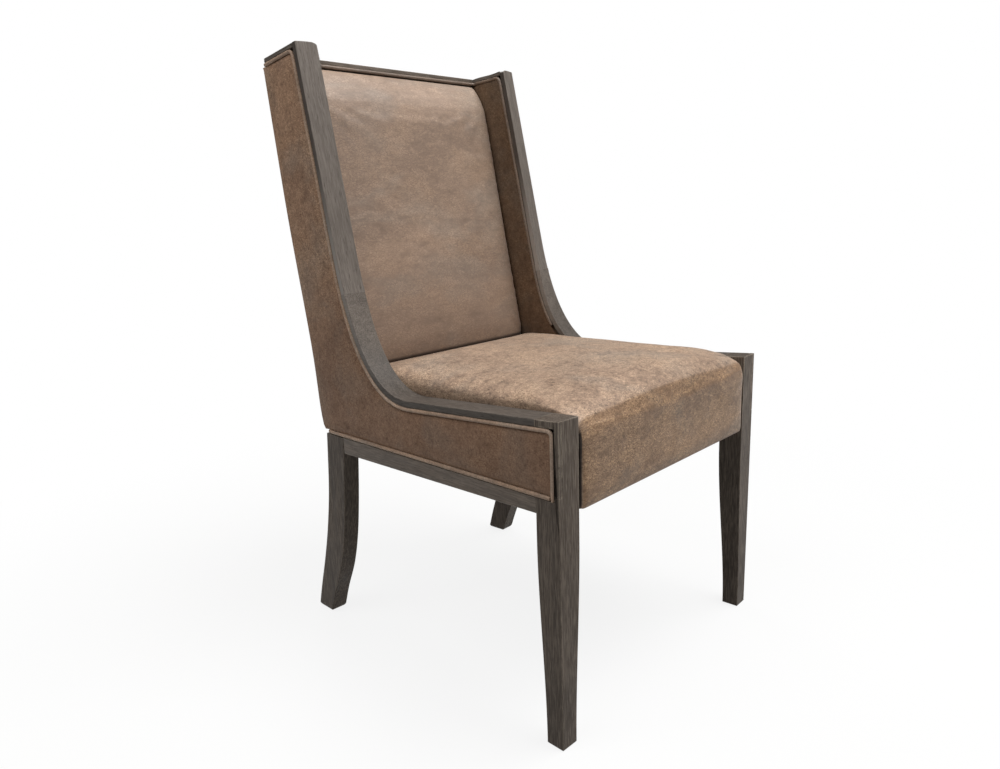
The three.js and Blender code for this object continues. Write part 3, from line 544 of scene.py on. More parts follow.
def leather(
    name, seed, tone, streak, fleck, fine, gloss, sheen, grain=1.0, rich=1.0,
    forward_plain_shade=0.0, painted_shade_below=0.0, top=0.66, crease_shade=0.0, tuck=9.0, hue=0.5,
):
    """Distressed brown leather look: softly cloudy, finely crackled, rubbed paler in short flecks, satin.

    forward_plain_shade makes it plainer where it faces forward, with painted shade that makes it darker and richer
    there; painted_shade_below paints shade from the height top down to the seat, and crease_shade paints shade
    where seat and back meet. tuck is how far out it turns in beside the posts, where the gap is painted dark as
    shade.
    """
    n = material_nodes(name)

    def shade(share, *colour):
        nonlocal base
        base = n.mix(share, base, rgb(*colour, tone))

    def around(noise, amount):
        return n.times(n.less(noise, 0.5), amount)

    def moved(*offset):
        return n.mapped(streak, offset=offset)

    space = moved(seed, 0.7 * seed, 1.3 * seed)
    cloud = n.noise(space, 9.0, 2.0, 0.5, 0.3)
    warm = n.noise(moved(seed + 7, 2, 5), 17.0, 3.0, 0.55, 0.5)
    patch = n.noise(space, 75.0, 3.0, 0.6, 0.5)
    small = n.noise(space, 230.0, 3.0, 0.6, 0.7)
    tiny = n.noise(space, 560.0, 2.0, 0.6, 0.3)
    base = rgb(142, 115, 93, tone)
    shade(n.ramp(cloud, 0.36, 0.64), 162, 132, 107)
    shade(n.ramp(warm, 0.44, 0.66, 0.0, 0.4), 158, 125, 95)
    cool = n.noise(moved(seed + 13, 4, 9), 12.0, 3.0, 0.55, 0.4)
    shade(n.ramp(cool, 0.46, 0.66, 0.0, 0.55), 150, 133, 117)
    level = n.plus(around(patch, 0.9), n.plus(around(small, 1.1 * fine), around(tiny, 0.8 * fine)))
    # Where the cover faces forward it is plainer than where it lies flat, and darker and richer: painted shade
    faced = n.axes(n.add("NewGeometry")["Normal"])["Y"]
    by_facing = lambda ahead, above: n.ramp(faced, -0.97, -0.7, ahead, above)
    level = n.plus(n.times(level, by_facing(1.0 - forward_plain_shade, 1.0)), by_facing(1.0 - 0.46 * forward_plain_shade, 1.0))
    base = n.mix(1.0, base, level, "MULTIPLY")
    # Rubbed flecks: thin ridges of a noise, only where a second noise lets them
    worms = n.noise(n.mapped(tuple(1.3 * c for c in streak), offset=(seed, 3, 1)), 230.0, 2.0, 0.5, 1.0)
    ridges = n.ramp(n.math("ABSOLUTE", n.less(worms, 0.5)), 0.06, 0.01)
    where = n.ramp(n.plus(n.times(patch, 0.5), n.times(warm, 0.5)), 0.38, 0.58)
    shade(n.times(n.times(ridges, where), fleck), 210, 177, 144)
    cells = {"Vector": space, "Scale": 290.0, "Randomness": 1.0}
    crack = n.add("TexVoronoi", cells, feature="DISTANCE_TO_EDGE")["Distance"]
    lines = n.ramp(crack, 0.12, 0.02)
    shade(n.times(lines, n.ramp(patch, 0.35, 0.6, 0.1, 0.4)), 104, 80, 62)
    spot = n.axes(n.mapped())
    # Painted shade: darker from the height top down to the seat
    shade(n.ramp(spot["Z"], top, 0.48, 0.0, painted_shade_below), 100, 76, 58)
    # Richer where it faces forward, as part of the painted shade
    toned = {"Hue": hue, "Saturation": by_facing(rich + 0.4 * forward_plain_shade, rich), "Color": base}
    base = n.add("HueSaturation", toned)["Color"]
    # Painted shade in the crease where seat and back meet
    shade(n.ramp(spot["Z"], 0.482, 0.476, 0.0, crease_shade), 38, 24, 17)
    # Painted shade where it is tucked in beside the posts, below the arms
    side = n.math("ABSOLUTE", spot["X"])
    tucked = n.times(n.ramp(side, tuck - 0.0017, tuck, 0.0, 0.93), n.ramp(spot["Z"], 0.458, 0.446))
    shade(tucked, 26, 18, 13)
    plain = n.mapped(offset=(seed, seed, 0))
    crumple = n.noise(plain, 62.0, 6.0, 0.7, 1.0)
    height = n.less(n.times(crumple, 1.2), n.times(lines, 0.35))
    soft = n.bump(n.noise(plain, 16.0, 2.0), 0.22, 0.005 * grain)
    return n.set(
        Base_Color=base,
        Normal=n.bump(height, 0.28, 0.0008 * grain, soft),
        Roughness=n.ramp(n.plus(n.times(patch, 0.5), n.times(small, 0.5)), 0.3, 0.7, 0.54, 0.42),
        Specular_IOR_Level=gloss,
        Sheen_Weight=sheen,
        Sheen_Roughness=0.4,
        Sheen_Tint=rgb(226, 215, 205),
    )


leather_seat = leather(
    "leather_seat", 0.0, 0.99, (0.72, 0.72, 1.25), 1.0, 1.9, 0.35, 0.45, grain=1.4, rich=0.9, forward_plain_shade=0.55, tuck=0.2281
)
leather_back = leather(
    "leather_back", 3.1, 1.0, (0.45, 1.0, 1.0), 0.3, 0.34, 0.45, 0.25, rich=0.84, painted_shade_below=0.45, top=0.74, crease_shade=0.9
)
leather_side = leather("leather_side", 6.4, 1.16, (0.8, 0.8, 0.8), 0.6, 1.3, 0.12, 0.02, painted_shade_below=0.4, hue=0.494)
# A darker copy for the insides of the wings: painted shade
leather_inner_shaded = leather("leather_inner_shaded", 7.5, 0.47, (0.8, 0.8, 0.8), 0.4, 0.9, 0.12, 0.0)
# A lighter copy for the welts outside and above the rails: painted light
leather_welt_lit = leather("leather_welt_lit", 9.2, 1.42, (1.0, 1.0, 1.0), 0.4, 0.8, 0.35, 0.08, 0.5, 0.86)
# A darker copy for the welt inside the wings and under the top rail: painted shade
leather_welt_shaded = leather("leather_welt_shaded", 1.7, 0.62, (1.0, 1.0, 1.0), 0.3, 0.8, 0.6, 0.1, 0.5, 0.8)


def cloth(name, dark, light, scale):
    """A plain weave: two crossed waves lift the threads."""
    n = material_nodes(name)
    space = n.mapped()
    inputs = {"Vector": space, "Scale": scale, "Distortion": 0.4, "Detail": 1.0}
    waves = [n.add("TexWave", inputs, bands_direction=way)["Fac"] for way in ("X", "Y")]
    tone = n.plus(n.times(n.times(*waves), 0.6), n.times(n.noise(space, 300.0, 3.0), 0.4))
    return n.set(
        Base_Color=n.mix(n.ramp(tone, 0.2, 0.8), dark, light), Normal=n.bump(tone, 0.4, 0.0004), Roughness=0.9
    )


webbing = cloth("webbing", rgb(34, 32, 31), rgb(70, 66, 62), 420.0)
cambric = cloth("cambric", rgb(22, 21, 21), rgb(44, 42, 41), 520.0)


def nylon():
    n = material_nodes("nylon")
    scuff = n.noise(n.mapped(), 400.0, 4.0)
    base = n.mix(n.ramp(scuff, 0.4, 0.7), rgb(206, 200, 190), rgb(226, 222, 214))
    return n.set(Base_Color=base, Roughness=n.ramp(scuff, 0.3, 0.7, 0.35, 0.55))


# Show wood
def front_leg(mirror):
    rings = []
    for z in (LEG_END, *np.linspace(12, TAPER_TOP, 16)):
        k = 1 - fade(z / TAPER_TOP, 0, 1)
        w = FRAME - (FRAME - FOOT_WIDTH) * k
        d = POST_DEPTH - (POST_DEPTH - FOOT_DEPTH) * k
        rings.append(np.array([(0, 0, z), (w, 0, z), (w, d, z), (0, d, z)]))
    square = [(0, 0), (FRAME, 0), (FRAME, POST_DEPTH), (0, POST_DEPTH)]
    rings.append(np.array([(t, u, arm_top(u)) for t, u in square]))
    leg = placed("front_leg", capped(rings), mirror)
    outward(leg)
    strip_back, behind_post = STRIP_DEPTH + GAP, POST_DEPTH + 5
    panel_room = [(strip_back, show_top(STRIP_DEPTH)), (behind_post, show_top(POST_DEPTH))]
    panel_room += [(behind_post, arm_top(behind_post) - TRIM), (strip_back, arm_top(STRIP_DEPTH) - TRIM)]
    strip_room = [(-5, STRIP_FOOT), (strip_back, STRIP_FOOT), (strip_back, 480), (-5, 480)]
    for outline, depth in ((panel_room, CORE_OUT), (strip_room, STRIP_THICKNESS + GAP)):
        cutter = placed("cutter", slab(outline, -5, depth), mirror)
        outward(cutter)
        modifier(leg, "BOOLEAN", object=cutter, operation="DIFFERENCE", solver="EXACT")
        bake(leg)
        bpy.data.objects.remove(cutter)
    return eased(leg, plain=lambda m: m.z > 465 and m.y > POST_BACK_Y - 2)


def post_strip(mirror):
    foot = STRIP_FOOT + GAP
    outline = [(0, foot), (STRIP_DEPTH, foot), (STRIP_DEPTH, arm_top(STRIP_DEPTH)), (0, ARM_HEIGHT)]
    return eased(placed("post_strip", slab(outline, 0, STRIP_THICKNESS), mirror), 0.7)


def rear_leg(mirror):
    rear = [(613, LEG_END), (600, 45), (578, 113), (560, 180), (546, 256), (536.5, 359.5)]
    front = [(486, 359.5), (491, 300), (499, 230), (510, 164), (527, 105), (553, 48), (571, LEG_END)]
    foot = slab([*catmull(rear, 44), *catmull(front, 44)], 0, CORE_IN)
    heights = np.linspace(376, 970, 14)
    cap = lambda u: under(u) - GAP
    rear_edge = lambda z: rear_at(z) - BACK_PANEL - GAP
    front_edge = lambda z: rear_edge(np.maximum(z, 366)) - np.interp(z, (340, 1000), (44.5, 29))
    post = [(526, 340), (526, 370), *[(rear_edge(z), z) for z in heights], (626, cap(626))]
    post += [(front_edge(984), cap(front_edge(984))), *[(front_edge(z), z) for z in heights[::-1]]]
    post += [(front_edge(340), 340)]
    leg = placed("rear_leg", joined(foot, slab(post, CORE_OUT, CORE_IN)), mirror)
    return eased(leg, segments=4, worn=lambda m: m.z < LEG_END + 1)


def side_rail(mirror):
    front, back = POST_DEPTH + SEAM, REAR_LEG_FRONT - SEAM
    show = [(u, rail_bottom(u)) for u in (front, back)] + [(u, show_top(u)) for u in (back, front)]
    core = [(front, 355), (back, 355), (back, RAIL_TOP), (front, RAIL_TOP)]
    shell = joined(slab(show, 0, CORE_IN), slab(core, CORE_OUT, CORE_IN - SEAM))
    return eased(placed("side_rail", shell, mirror))


def trim(points, first_depth=None, top=False):
    """Flange and web along ridge points, in side axes."""
    columns = np.linspace(0, FRAME, 17)
    flange = swept(points, [*[(t, 0) for t in columns], *[(t, TRIM) for t in columns[::-1]]])
    low, high = TRIM - 1, TRIM + WEB
    web = swept(points, [(CORE_OUT, low), (CORE_IN, low), (CORE_IN, high), (CORE_OUT, high)])
    if first_depth is not None:
        flange[0][:, 1] = web[0][:, 1] = first_depth
    if top:
        # The sawn end is a little rounded over its width
        t = flange[-1][:, 0]
        arch = 1.0 - ((t - 17) / 23) ** 2 - 3.2 * np.clip((t - 29) / 11, 0, 1) ** 2
        flange[-1][:, 2] = wing_top(flange[-1][:, 1]) + arch
        web[-1][:, 2] = wing_top(web[-1][:, 1]) - TOP_TRIM - GAP
    return joined(*[capped([turned(ring) for ring in rings]) for rings in (flange, web)])


def near_joint(reach):
    """Tells the places beside the butt joint, where no arris is eased."""
    at, way = swoop(JOINT)
    normal = np.array((way[0] * math.cos(TAPER), way[1]))

    along = lambda m: (m.y - Y0 - at[0]) * normal[0] + (m.z - at[1]) * normal[1]
    return lambda m: abs(along(m)) < reach and m.z > JOINT_HEIGHT - 40


def arm(mirror):
    start = POST_DEPTH + SEAM
    obj = placed("arm", trim(ridge(-1, JOINT - 0.0002, start), start), mirror)
    upper = near_joint(5.0)
    return eased(obj, plain=lambda m: m.y < POST_BACK_Y + 2 or upper(m))


def wing_stile(mirror):
    obj = placed("wing_stile", trim(ridge(JOINT + 0.0002, 2), top=True), mirror)
    return eased(obj, 1.4, near_joint(5.0), 4)


def wing_top_trim(mirror):
    front = TOP_DEPTH + TRIM * 1.02 + 0.2
    rings = []
    for u in np.linspace(front, TOP_REAR, 12):
        top, low = wing_top(u), under(u)
        rings.append(turned([(0, u, top), (FRAME, u, top), (FRAME, u, low), (0, u, low)]))
    return eased(placed("wing_top", capped(rings), mirror), plain=lambda m: m.y < Y0 + front + 2)


def across(profile, t):
    """A shell across the chair between the planes at depth t, from (y, z) points."""
    return capped([np.array([(s * half_width(t, y), y + Y0, z) for y, z in profile]) for s in (-1, 1)])


def under(u):
    return wing_top(u) - TOP_TRIM


def build_wood():
    makers = (
        ("front_leg", front_leg, wood_up),
        ("post_strip", post_strip, wood_up),
        ("rear_leg", rear_leg, wood_up),
        ("side_rail", side_rail, wood_back),
        ("arm", arm, wood_arm),
        ("wing_stile", wing_stile, wood_wing),
        ("wing_top", wing_top_trim, wood_arm),
    )
    for side, mirror in SIDES:
        for name, maker, material in makers:
            obj = maker(mirror)
            obj.name = f"{name}_wood_{side}"
            dress(obj, material, "show_wood", f"{name}_{side}")
    ends = (CAP_FRONT, TOP_REAR)
    cap = [(u, under(u)) for u in ends] + [(u, wing_top(u)) for u in ends[::-1]]
    neck = [(614, 960), (620, 960), (624, under(624) + 3), (616, under(616) + 3)]
    strap_back = lambda z: strap_face(z) + 2.7
    web_top = under(617) - GAP
    rear = [(rear_at(z) - BACK_PANEL - 2 * GAP, z) for z in np.linspace(935, 970, 6)]
    web = [(strap_back(935), 935), *rear, (625, under(625) - GAP), (strap_back(web_top), web_top)]
    shells = across(cap, FRAME + SEAM), across(neck, FRAME + SEAM), across(web, CORE_IN + SEAM)
    obj = piece("top_rail_wood", *joined(*shells))
    dress(eased(obj), wood_across, "show_wood", "back_top_rail")
    front, step, back = REAR_RAIL_FRONT, REAR_RAIL_STEP, REAR_RAIL_BACK
    rail = [(front, rail_bottom(front)), (back, rail_bottom(back)), (back, show_top(back))]
    rail += [(step, show_top(back)), (step, RAIL_TOP), (front, RAIL_TOP)]
    obj = piece("rear_rail_wood", *across(rail, CORE_IN + SEAM))
    dress(eased(obj), wood_across, "show_wood", "rear_rail")


# Upholstery
def vectors(obj, kind="co"):
    values = np.empty(len(obj.data.vertices) * 3, np.float32)
    obj.data.vertices.foreach_get(kind, values)
    return values.reshape(-1, 3).astype(float)


def set_points(obj, co):
    obj.data.vertices.foreach_set("co", np.asarray(co, np.float32).ravel())
    obj.data.update()


def swell(obj, by):
    """Moves every point along its normal by so many millimetres."""
    set_points(obj, vectors(obj) + vectors(obj, "normal") * (by * MM)[:, None])


def cover(obj, material, node):
    dress(obj, material, "cover", node)


class Field:
    """A smooth random field made of a few waves, for soft unevenness of the cover."""

    def __init__(self, seed, size):
        count = 14
        rng = np.random.default_rng(seed)
        way = rng.normal(size=(count, 3))
        way /= np.linalg.norm(way, axis=1, keepdims=True)
        self.waves = way * (2 * math.pi / (size * rng.uniform(0.7, 1.6, (count, 1))))
        self.phase = rng.uniform(0, 2 * math.pi, count)

    def __call__(self, co):
        return np.sin(co @ self.waves.T + self.phase).mean(1) * 1.6


def inflate(obj, cap, pinned):
    """Swells a padded piece by cloth simulation. No point moves further than cap, and pinned points stay."""
    base = vectors(obj)
    group = obj.vertex_groups.new(name="pinned")
    group.add([int(i) for i in np.nonzero(pinned(base / MM))[0]], 1.0, "REPLACE")
    mod = modifier(obj, "CLOTH")
    settings = put(mod.settings, quality=5, mass=0.4, tension_stiffness=30, compression_stiffness=30)
    put(settings, shear_stiffness=12, bending_stiffness=2, vertex_group_mass="pinned")
    put(settings, use_pressure=True, uniform_pressure_force=4.0)
    settings.effector_weights.gravity = 0
    scene = bpy.context.scene
    scene.frame_start, scene.frame_end = 1, CLOTH_FRAMES
    mod.point_cache.frame_start, mod.point_cache.frame_end = 1, CLOTH_FRAMES
    for f in range(1, CLOTH_FRAMES + 1):
        scene.frame_set(f)
    moved = vectors(obj.evaluated_get(bpy.context.evaluated_depsgraph_get())) - base
    obj.modifiers.clear()
    scene.frame_set(1)
    length = np.linalg.norm(moved, axis=1, keepdims=True)
    limit = cap * MM
    moved *= limit * np.tanh(length / limit) / np.maximum(length, 1e-9)
    set_points(obj, base + moved)
    obj.vertex_groups.clear()


def rolled(s, half, radius):
    """How far a surface has dropped at a share s of the half width, over an edge of that radius."""
    over = np.clip(np.abs(s) * half - (half - radius), 0, None) / radius
    return radius * (1 - np.sqrt(np.clip(1 - over * over, 0, None)))


# Top of the seat at its sides, as points (y, z)
SEAT_TOP = [(471.3, 477), (430, 479.6), (343, 482.1), (200, 484), (100, 485.4), (50, 481.9)]
SEAT_TOP += [(25, 476.7), (9, 470), (0, 462), (-4.5, 444)]
SEAT_FRONT = -4.5
SEAT_REAR = 463.5
SEAT_LIP = 342.5
SEAT_UNDER = 405.3
SEAT_CROWN = 10.2
SEAT_ROLL = 12.6
LIP_BACK = 12.2  # the seat's front hangs down before the front rail, back to here
CUSHION_INSET = 41.2  # depth t of the cushions' sides
CLOTH_FRAMES = 20
CREASE = 9.0  # the seat turns down by this radius where it meets the back
CUSHION_GRID = 5.2  # size of the even quads
SIDE_TIGHT = 6  # the higher, the closer to its sides the back swells
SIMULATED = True


def crossed(profile, stations, move):
    """Carries a (y, z) profile across the chair; move(s, y, z) gives each point."""
    y, z = np.array(profile).T
    return capped([np.stack(np.broadcast_arrays(*move(s, y, z)), 1) for s in stations])


CROWDED = np.sin(np.linspace(-1, 1, 71) * math.pi / 2)


def cushion_half(y):
    return half_width(CUSHION_INSET, y)


def by_side(co):
    """Depth y behind the posts' front edge, and how far in from the cushion's side."""
    y = co[:, 1] - Y0
    return y, cushion_half(y) - np.abs(co[:, 0])


def cushion(name, profile, move, pinned, cap):
    """A cushion of fine even quads, swollen by no more than cap."""
    obj = piece(name, *crossed(profile, CROWDED, move))
    outward(obj)
    modifier(obj, "REMESH", mode="VOXEL", voxel_size=CUSHION_GRID * MM, use_smooth_shade=True)
    modifier(obj, "SMOOTH", factor=0.5, iterations=1)
    bake(obj)
    if SIMULATED:
        inflate(obj, cap, pinned)
    modifier(obj, "SUBSURF", levels=1, render_levels=1)
    bake(obj)
    return obj


def seat_cushion():
    front = [(SEAT_FRONT, z) for z in np.linspace(436, SEAT_LIP + 3, 12)]
    under_lip = [(SEAT_FRONT + 0.9, SEAT_LIP + 0.9), (SEAT_FRONT + 3, SEAT_LIP), (LIP_BACK, SEAT_LIP)]
    rear = [(LIP_BACK, SEAT_UNDER), (SEAT_REAR, SEAT_UNDER), (SEAT_REAR, BACK_FOOT)]
    profile = [*catmull(SEAT_TOP, 70), *front, *under_lip, *rear]
    slack = 1.6 if SIMULATED else 0.0

    def move(s, y, z):
        room = 1.2 + 1.7 * (1 - fade(z, 418, 452))
        half = cushion_half(y) - room * (1 - fade(y, 6, 45))
        up = fade(z, SEAT_UNDER, 450)
        drawn = 1.5 * np.sin(np.pi * np.clip(y / SEAT_REAR, 0, 1)) * up
        crown = SEAT_CROWN * (1 - s * s) * (1 - fade(y, 400, 470))
        wide = 1 + 0.8 * fade(y, 60, 140)
        radius = SEAT_ROLL * wide * (1 - 0.75 * fade(y, 340, 455))
        lift = (crown - rolled(s, half, radius)) * up
        is_front = y < LIP_BACK - 1
        front_edge = rolled(s, half, 4.5) * is_front
        around_back = BACK_SWELL * abs(s) ** SIDE_TIGHT * fade(y, 400, 470)
        loose = slack * (1 - s**4)
        lift -= (CREASE - np.sqrt(CREASE**2 - np.clip(y - 462.3, 0, CREASE - 0.6) ** 2)) * up
        back = front_edge + around_back + loose * is_front * fade(z, 350, 380)
        return s * (half - drawn), y + back + Y0, z + lift - loose * up * (1 - fade(y, 430, 465))

    def pinned(co):
        y, inner = by_side(co)
        low = co[:, 2] < SEAT_LIP + 8
        hidden = (co[:, 2] < SEAT_UNDER + 5) & (y > LIP_BACK - 3)
        return low | hidden | (y > SEAT_REAR - 12) | (inner < 4)

    obj = cushion("seat_cushion_leather", profile, move, pinned, 2.0)
    co = vectors(obj)
    mm = co / MM
    y, reach = by_side(mm)
    shown = fade(mm[:, 2], SEAT_LIP + 4, SEAT_LIP + 30) * fade(SEAT_REAR - y, 2, 30)
    soft = Field(11, 0.13)(co) * 0.5 + Field(12, 0.05)(co) * 0.16
    # Short pulls of the cover beside the posts
    pull = fade(-reach, -45, -4) * fade(-y, -80, -25) * fade(mm[:, 2], 400, 450)
    pleats = np.sin(y / 5.2 + 0.06 * reach + 1.7 * np.sin(y / 23)) * pull * 0.3
    swell(obj, (soft + pleats) * shown)
    cover(obj, leather_seat, "seat_cushion")


def back_cushion():
    front_z = np.concatenate([np.linspace(BACK_FOOT, 900, 36), np.linspace(906, BACK_TOP - 1.5, 20)])
    front = [(back_face(z), z) for z in front_z]
    rear = lambda z: strap_face(z) - 0.8
    top = [(back_face(BACK_TOP) + 2.5, BACK_TOP), (rear(BACK_TOP), BACK_TOP)]
    profile = [(rear(BACK_FOOT), BACK_FOOT), *front, *top][::-1]
    slack = 0.8 if SIMULATED else 0.0

    def move(s, y, z):
        half = cushion_half(y)
        is_front = y < rear(z) - 4
        drawn = 1.5 * np.sin(np.pi * np.clip((z - 420) / (BACK_TOP - 400), 0, 1))
        swell = BACK_SWELL * (1 - abs(s) ** SIDE_TIGHT) * (1 - fade(z, 900, BACK_TOP))
        loose = slack * (1 - s**4) * np.sin(np.pi * np.clip((z - 450) / (BACK_TOP - 460), 0, 1))
        turn = np.minimum(rolled(s, half, 10), 8)
        low = np.clip((500 - z) / 26, 0, 0.98)
        turn = turn + 10 * (1 - np.sqrt(1 - low * low))
        return s * (half - drawn), y + is_front * (turn - swell + loose) + Y0, z

    def pinned(co):
        (y, inner), z = by_side(co), co[:, 2]
        return (y > strap_face(z) - 3.5) | (z < BACK_LEVEL + 4) | (z > BACK_TOP - 8) | (inner < 4)

    obj = cushion("back_cushion_leather", profile, move, pinned, 1.2)
    co = vectors(obj)
    mm = co / MM
    _, reach = by_side(mm)
    front_side = fade(-vectors(obj, "normal")[:, 1], 0.0, 0.5) * fade(BACK_TOP - mm[:, 2], 2, 30)
    soft = Field(21, 0.17)(co) * 0.6 + Field(22, 0.06)(co) * 0.18
    # Small puckers down the sides, where the cover is pulled back
    pull = fade(-reach, -26, -3)
    pucker = np.sin(mm[:, 2] / 3.1 + 2.1 * np.sin(mm[:, 2] / 17)) * (0.6 + 0.4 * np.sin(mm[:, 2] / 41)) * pull
    swell(obj, (soft + 0.38 * pucker) * front_side)
    cover(obj, leather_back, "back_cushion")


def wing_line(start, room, first_depth=0.0):
    """A line with that room under the trim, and the top corner where it turns back."""
    line = [tuple(p) for p in behind(ridge(start, 2, first_depth), TRIM + room)]
    if start < 0:
        line[0] = (first_depth, arm_top(first_depth) - (TRIM + room))
    top_u = line[-1][0]
    return line[:-1], (top_u, under(top_u) - room)


def outer_outline():
    start = STRIP_DEPTH + WELT_ROOM + GAP
    line, top = wing_line(-1, WELT_ROOM, start)
    foot = (start, show_top(start) + WELT_ROOM)
    rear_top = (636.4, under(636.4) - WELT_ROOM)
    rear = [(rear_at(z), z) for z in np.linspace(rear_top[1] - 4, 374, 40)]
    front = [foot, *corner(foot, line[0], line[1], PANEL_CORNER), *line[2:]]
    rear += [(538, show_top(538) + WELT_ROOM)]
    return [*front, *corner(line[-1], top, rear_top, PANEL_CORNER), rear_top, *rear]


def inner_outline():
    line, top = wing_line(0.42, WELT_ROOM)
    rear = [(strap_face(z) - 1.5, z) for z in np.linspace(970, BACK_FOOT, 12)]
    rear_top = (rear[0][0], under(rear[0][0]) - WELT_ROOM)
    front = [(line[0][0], BACK_FOOT), *line]
    return [*front, *corner(line[-1], top, rear_top, PANEL_CORNER), rear_top, *rear]


def board(name, outline, visible, hidden, mirror, seed, wave, step, crown, sunk=lambda u, z: 1.0):
    """A padded board between two depths, cut into a grid. Its visible face lies deeper at the edges, by crown
    times sunk(u, z)."""
    outline = np.array(outline, float)
    bm = bmesh.new()
    bm.faces.new([bm.verts.new((0, u, z)) for u, z in outline])
    for axis in (1, 2):
        low, high = outline[:, axis - 1].min(), outline[:, axis - 1].max()
        for at in np.arange(low + step, high - 1, step):
            normal = [float(i == axis) for i in range(3)]
            geom = bm.verts[:] + bm.edges[:] + bm.faces[:]
            bmesh.ops.bisect_plane(bm, geom=geom, plane_co=[at * i for i in normal], plane_no=normal)
    bm.verts.index_update()
    flat = np.array([v.co[1:] for v in bm.verts])
    faces = [tuple(v.index for v in f.verts) for f in bm.faces]
    rim = [tuple(v.index for v in e.verts) for e in bm.edges if e.is_boundary]
    bm.free()
    start, end = outline, np.roll(outline, -1, 0)
    way = end - start
    share = ((flat[:, None] - start) * way).sum(2) / np.maximum((way**2).sum(1), 1e-9)
    nearest = start + np.clip(share, 0, 1)[..., None] * way
    depth = np.linalg.norm(flat[:, None] - nearest, axis=2).min(1)
    out = np.sign(visible - hidden)
    pillow = -crown * np.exp(-depth / 7.0) * sunk(*flat.T)
    spots = flat[:, [0, 1, 1]] * MM
    field = Field(seed, 0.13)(spots) + 0.3 * Field(seed + 1, 0.045)(spots)
    raised = visible + out * (pillow + wave * field * fade(depth, 0, 12))
    count = len(flat)
    both = [np.column_stack([t, flat]) for t in (raised, np.full(count, hidden))]
    sides = [(a, b, b + count, a + count) for a, b in rim]
    back = [tuple(i + count for i in reversed(f)) for f in faces]
    points = place(turned(np.vstack(both)))
    return eased(piece(name, points, [*faces, *back, *sides], mirror))


def build_panels():
    # The outer panel sinks beside its welts, but not where it meets the outside back
    sunk = lambda u, z: 0.45 + 0.55 * fade(rear_at(z) - u, 1, 16)
    for side, mirror in SIDES:
        name = f"outer_panel_leather_{side}"
        obj = board(name, outer_outline(), -1.8, 10.2, mirror, 31, 0.3, 7.0, 3.3, sunk)
        cover(obj, leather_side, f"outer_panel_{side}")
        name = f"inner_panel_leather_{side}"
        obj = board(name, inner_outline(), 40.3, CORE_IN + GAP, mirror, 41, 0.2, 6.0, 0.8)
        cover(obj, leather_inner_shaded, f"inner_panel_{side}")


def outside_back():
    low = show_top(REAR_RAIL_BACK) + WELT_ROOM
    heights = np.linspace(low + 8, 978, 40)
    profile = [(rear_at(low) - BACK_PANEL, low), (rear_at(low) - 4, low), *[(rear_at(z), z) for z in heights]]
    profile += [(635.4, under(635.4) - GAP), (627, under(627) - GAP)]
    profile += [(rear_at(z) - BACK_PANEL, z) for z in heights[::-1]]

    def move(s, y, z):
        bulge = 1.6 * (1 - s**8) * (y > rear_at(z) - 3)
        return s * half_width(CORE_OUT, y), y - 1.2 + bulge + Y0, z

    obj = piece("outside_back_leather", *crossed(profile, np.linspace(-1, 1, 41), move))
    outward(obj)
    co = vectors(obj)
    swell(obj, (Field(51, 0.2)(co) + 0.35 * Field(52, 0.2 / 3)(co)) * 0.25)
    cover(eased(obj, 1.6), leather_side, "outside_back")


# Welts
def resampled(path, step):
    path = np.asarray(path, float)
    gaps = np.linalg.norm(np.diff(path, axis=0), axis=1)
    way = np.concatenate([[0], np.cumsum(gaps)])
    at = np.linspace(0, way[-1], max(4, int(way[-1] / step)))
    out = np.stack([np.interp(at, way, path[:, i]) for i in range(3)], 1)
    for _ in range(2):
        out[1:-1] = (out[:-2] + 2 * out[1:-1] + out[2:]) / 4
    return out


def cord_shell(path, seed):
    """A covered cord along a path, a little uneven in thickness, with rounded ends."""
    path = resampled(path, WELT_STEP)
    way = np.gradient(path, axis=0)
    way /= np.linalg.norm(way, axis=1, keepdims=True)
    side = np.cross(way[0], (0.3, 0.5, 0.8))
    count = len(path)
    knots = np.arange(0, count + 8, 8)
    heights = np.random.default_rng(seed).uniform(-1, 1, count // 8 + 2)[: len(knots)]
    swell = np.interp(np.arange(count), knots, heights)
    angles = np.linspace(0, 2 * math.pi, 14, endpoint=False)[:, None]
    rings = []
    for i, (p, w) in enumerate(zip(path, way)):
        side = side - w * side.dot(w)
        side /= np.linalg.norm(side)
        end = (0.8, 0.97, 1.0)[min(i, count - 1 - i, 2)]
        r = WELT_RADIUS * (1 + 0.03 * swell[i]) * end
        rings.append(p + r * (np.cos(angles) * side + np.sin(angles) * np.cross(w, side)))
    return capped(rings)


def welt(name, path, seed, mirror, node, material=leather_welt_lit):
    obj = piece(name, *cord_shell(path, seed), mirror)
    outward(obj)
    smooth(obj, 60)
    dress(obj, material, "welt", node)


def welt_top(u):
    """Height of a welt that runs under the wing's top."""
    return under(u) - WELT_ROOM / 2


def both_sides(right):
    return np.vstack([right, (right * (-1, 1, 1))[::-1]])


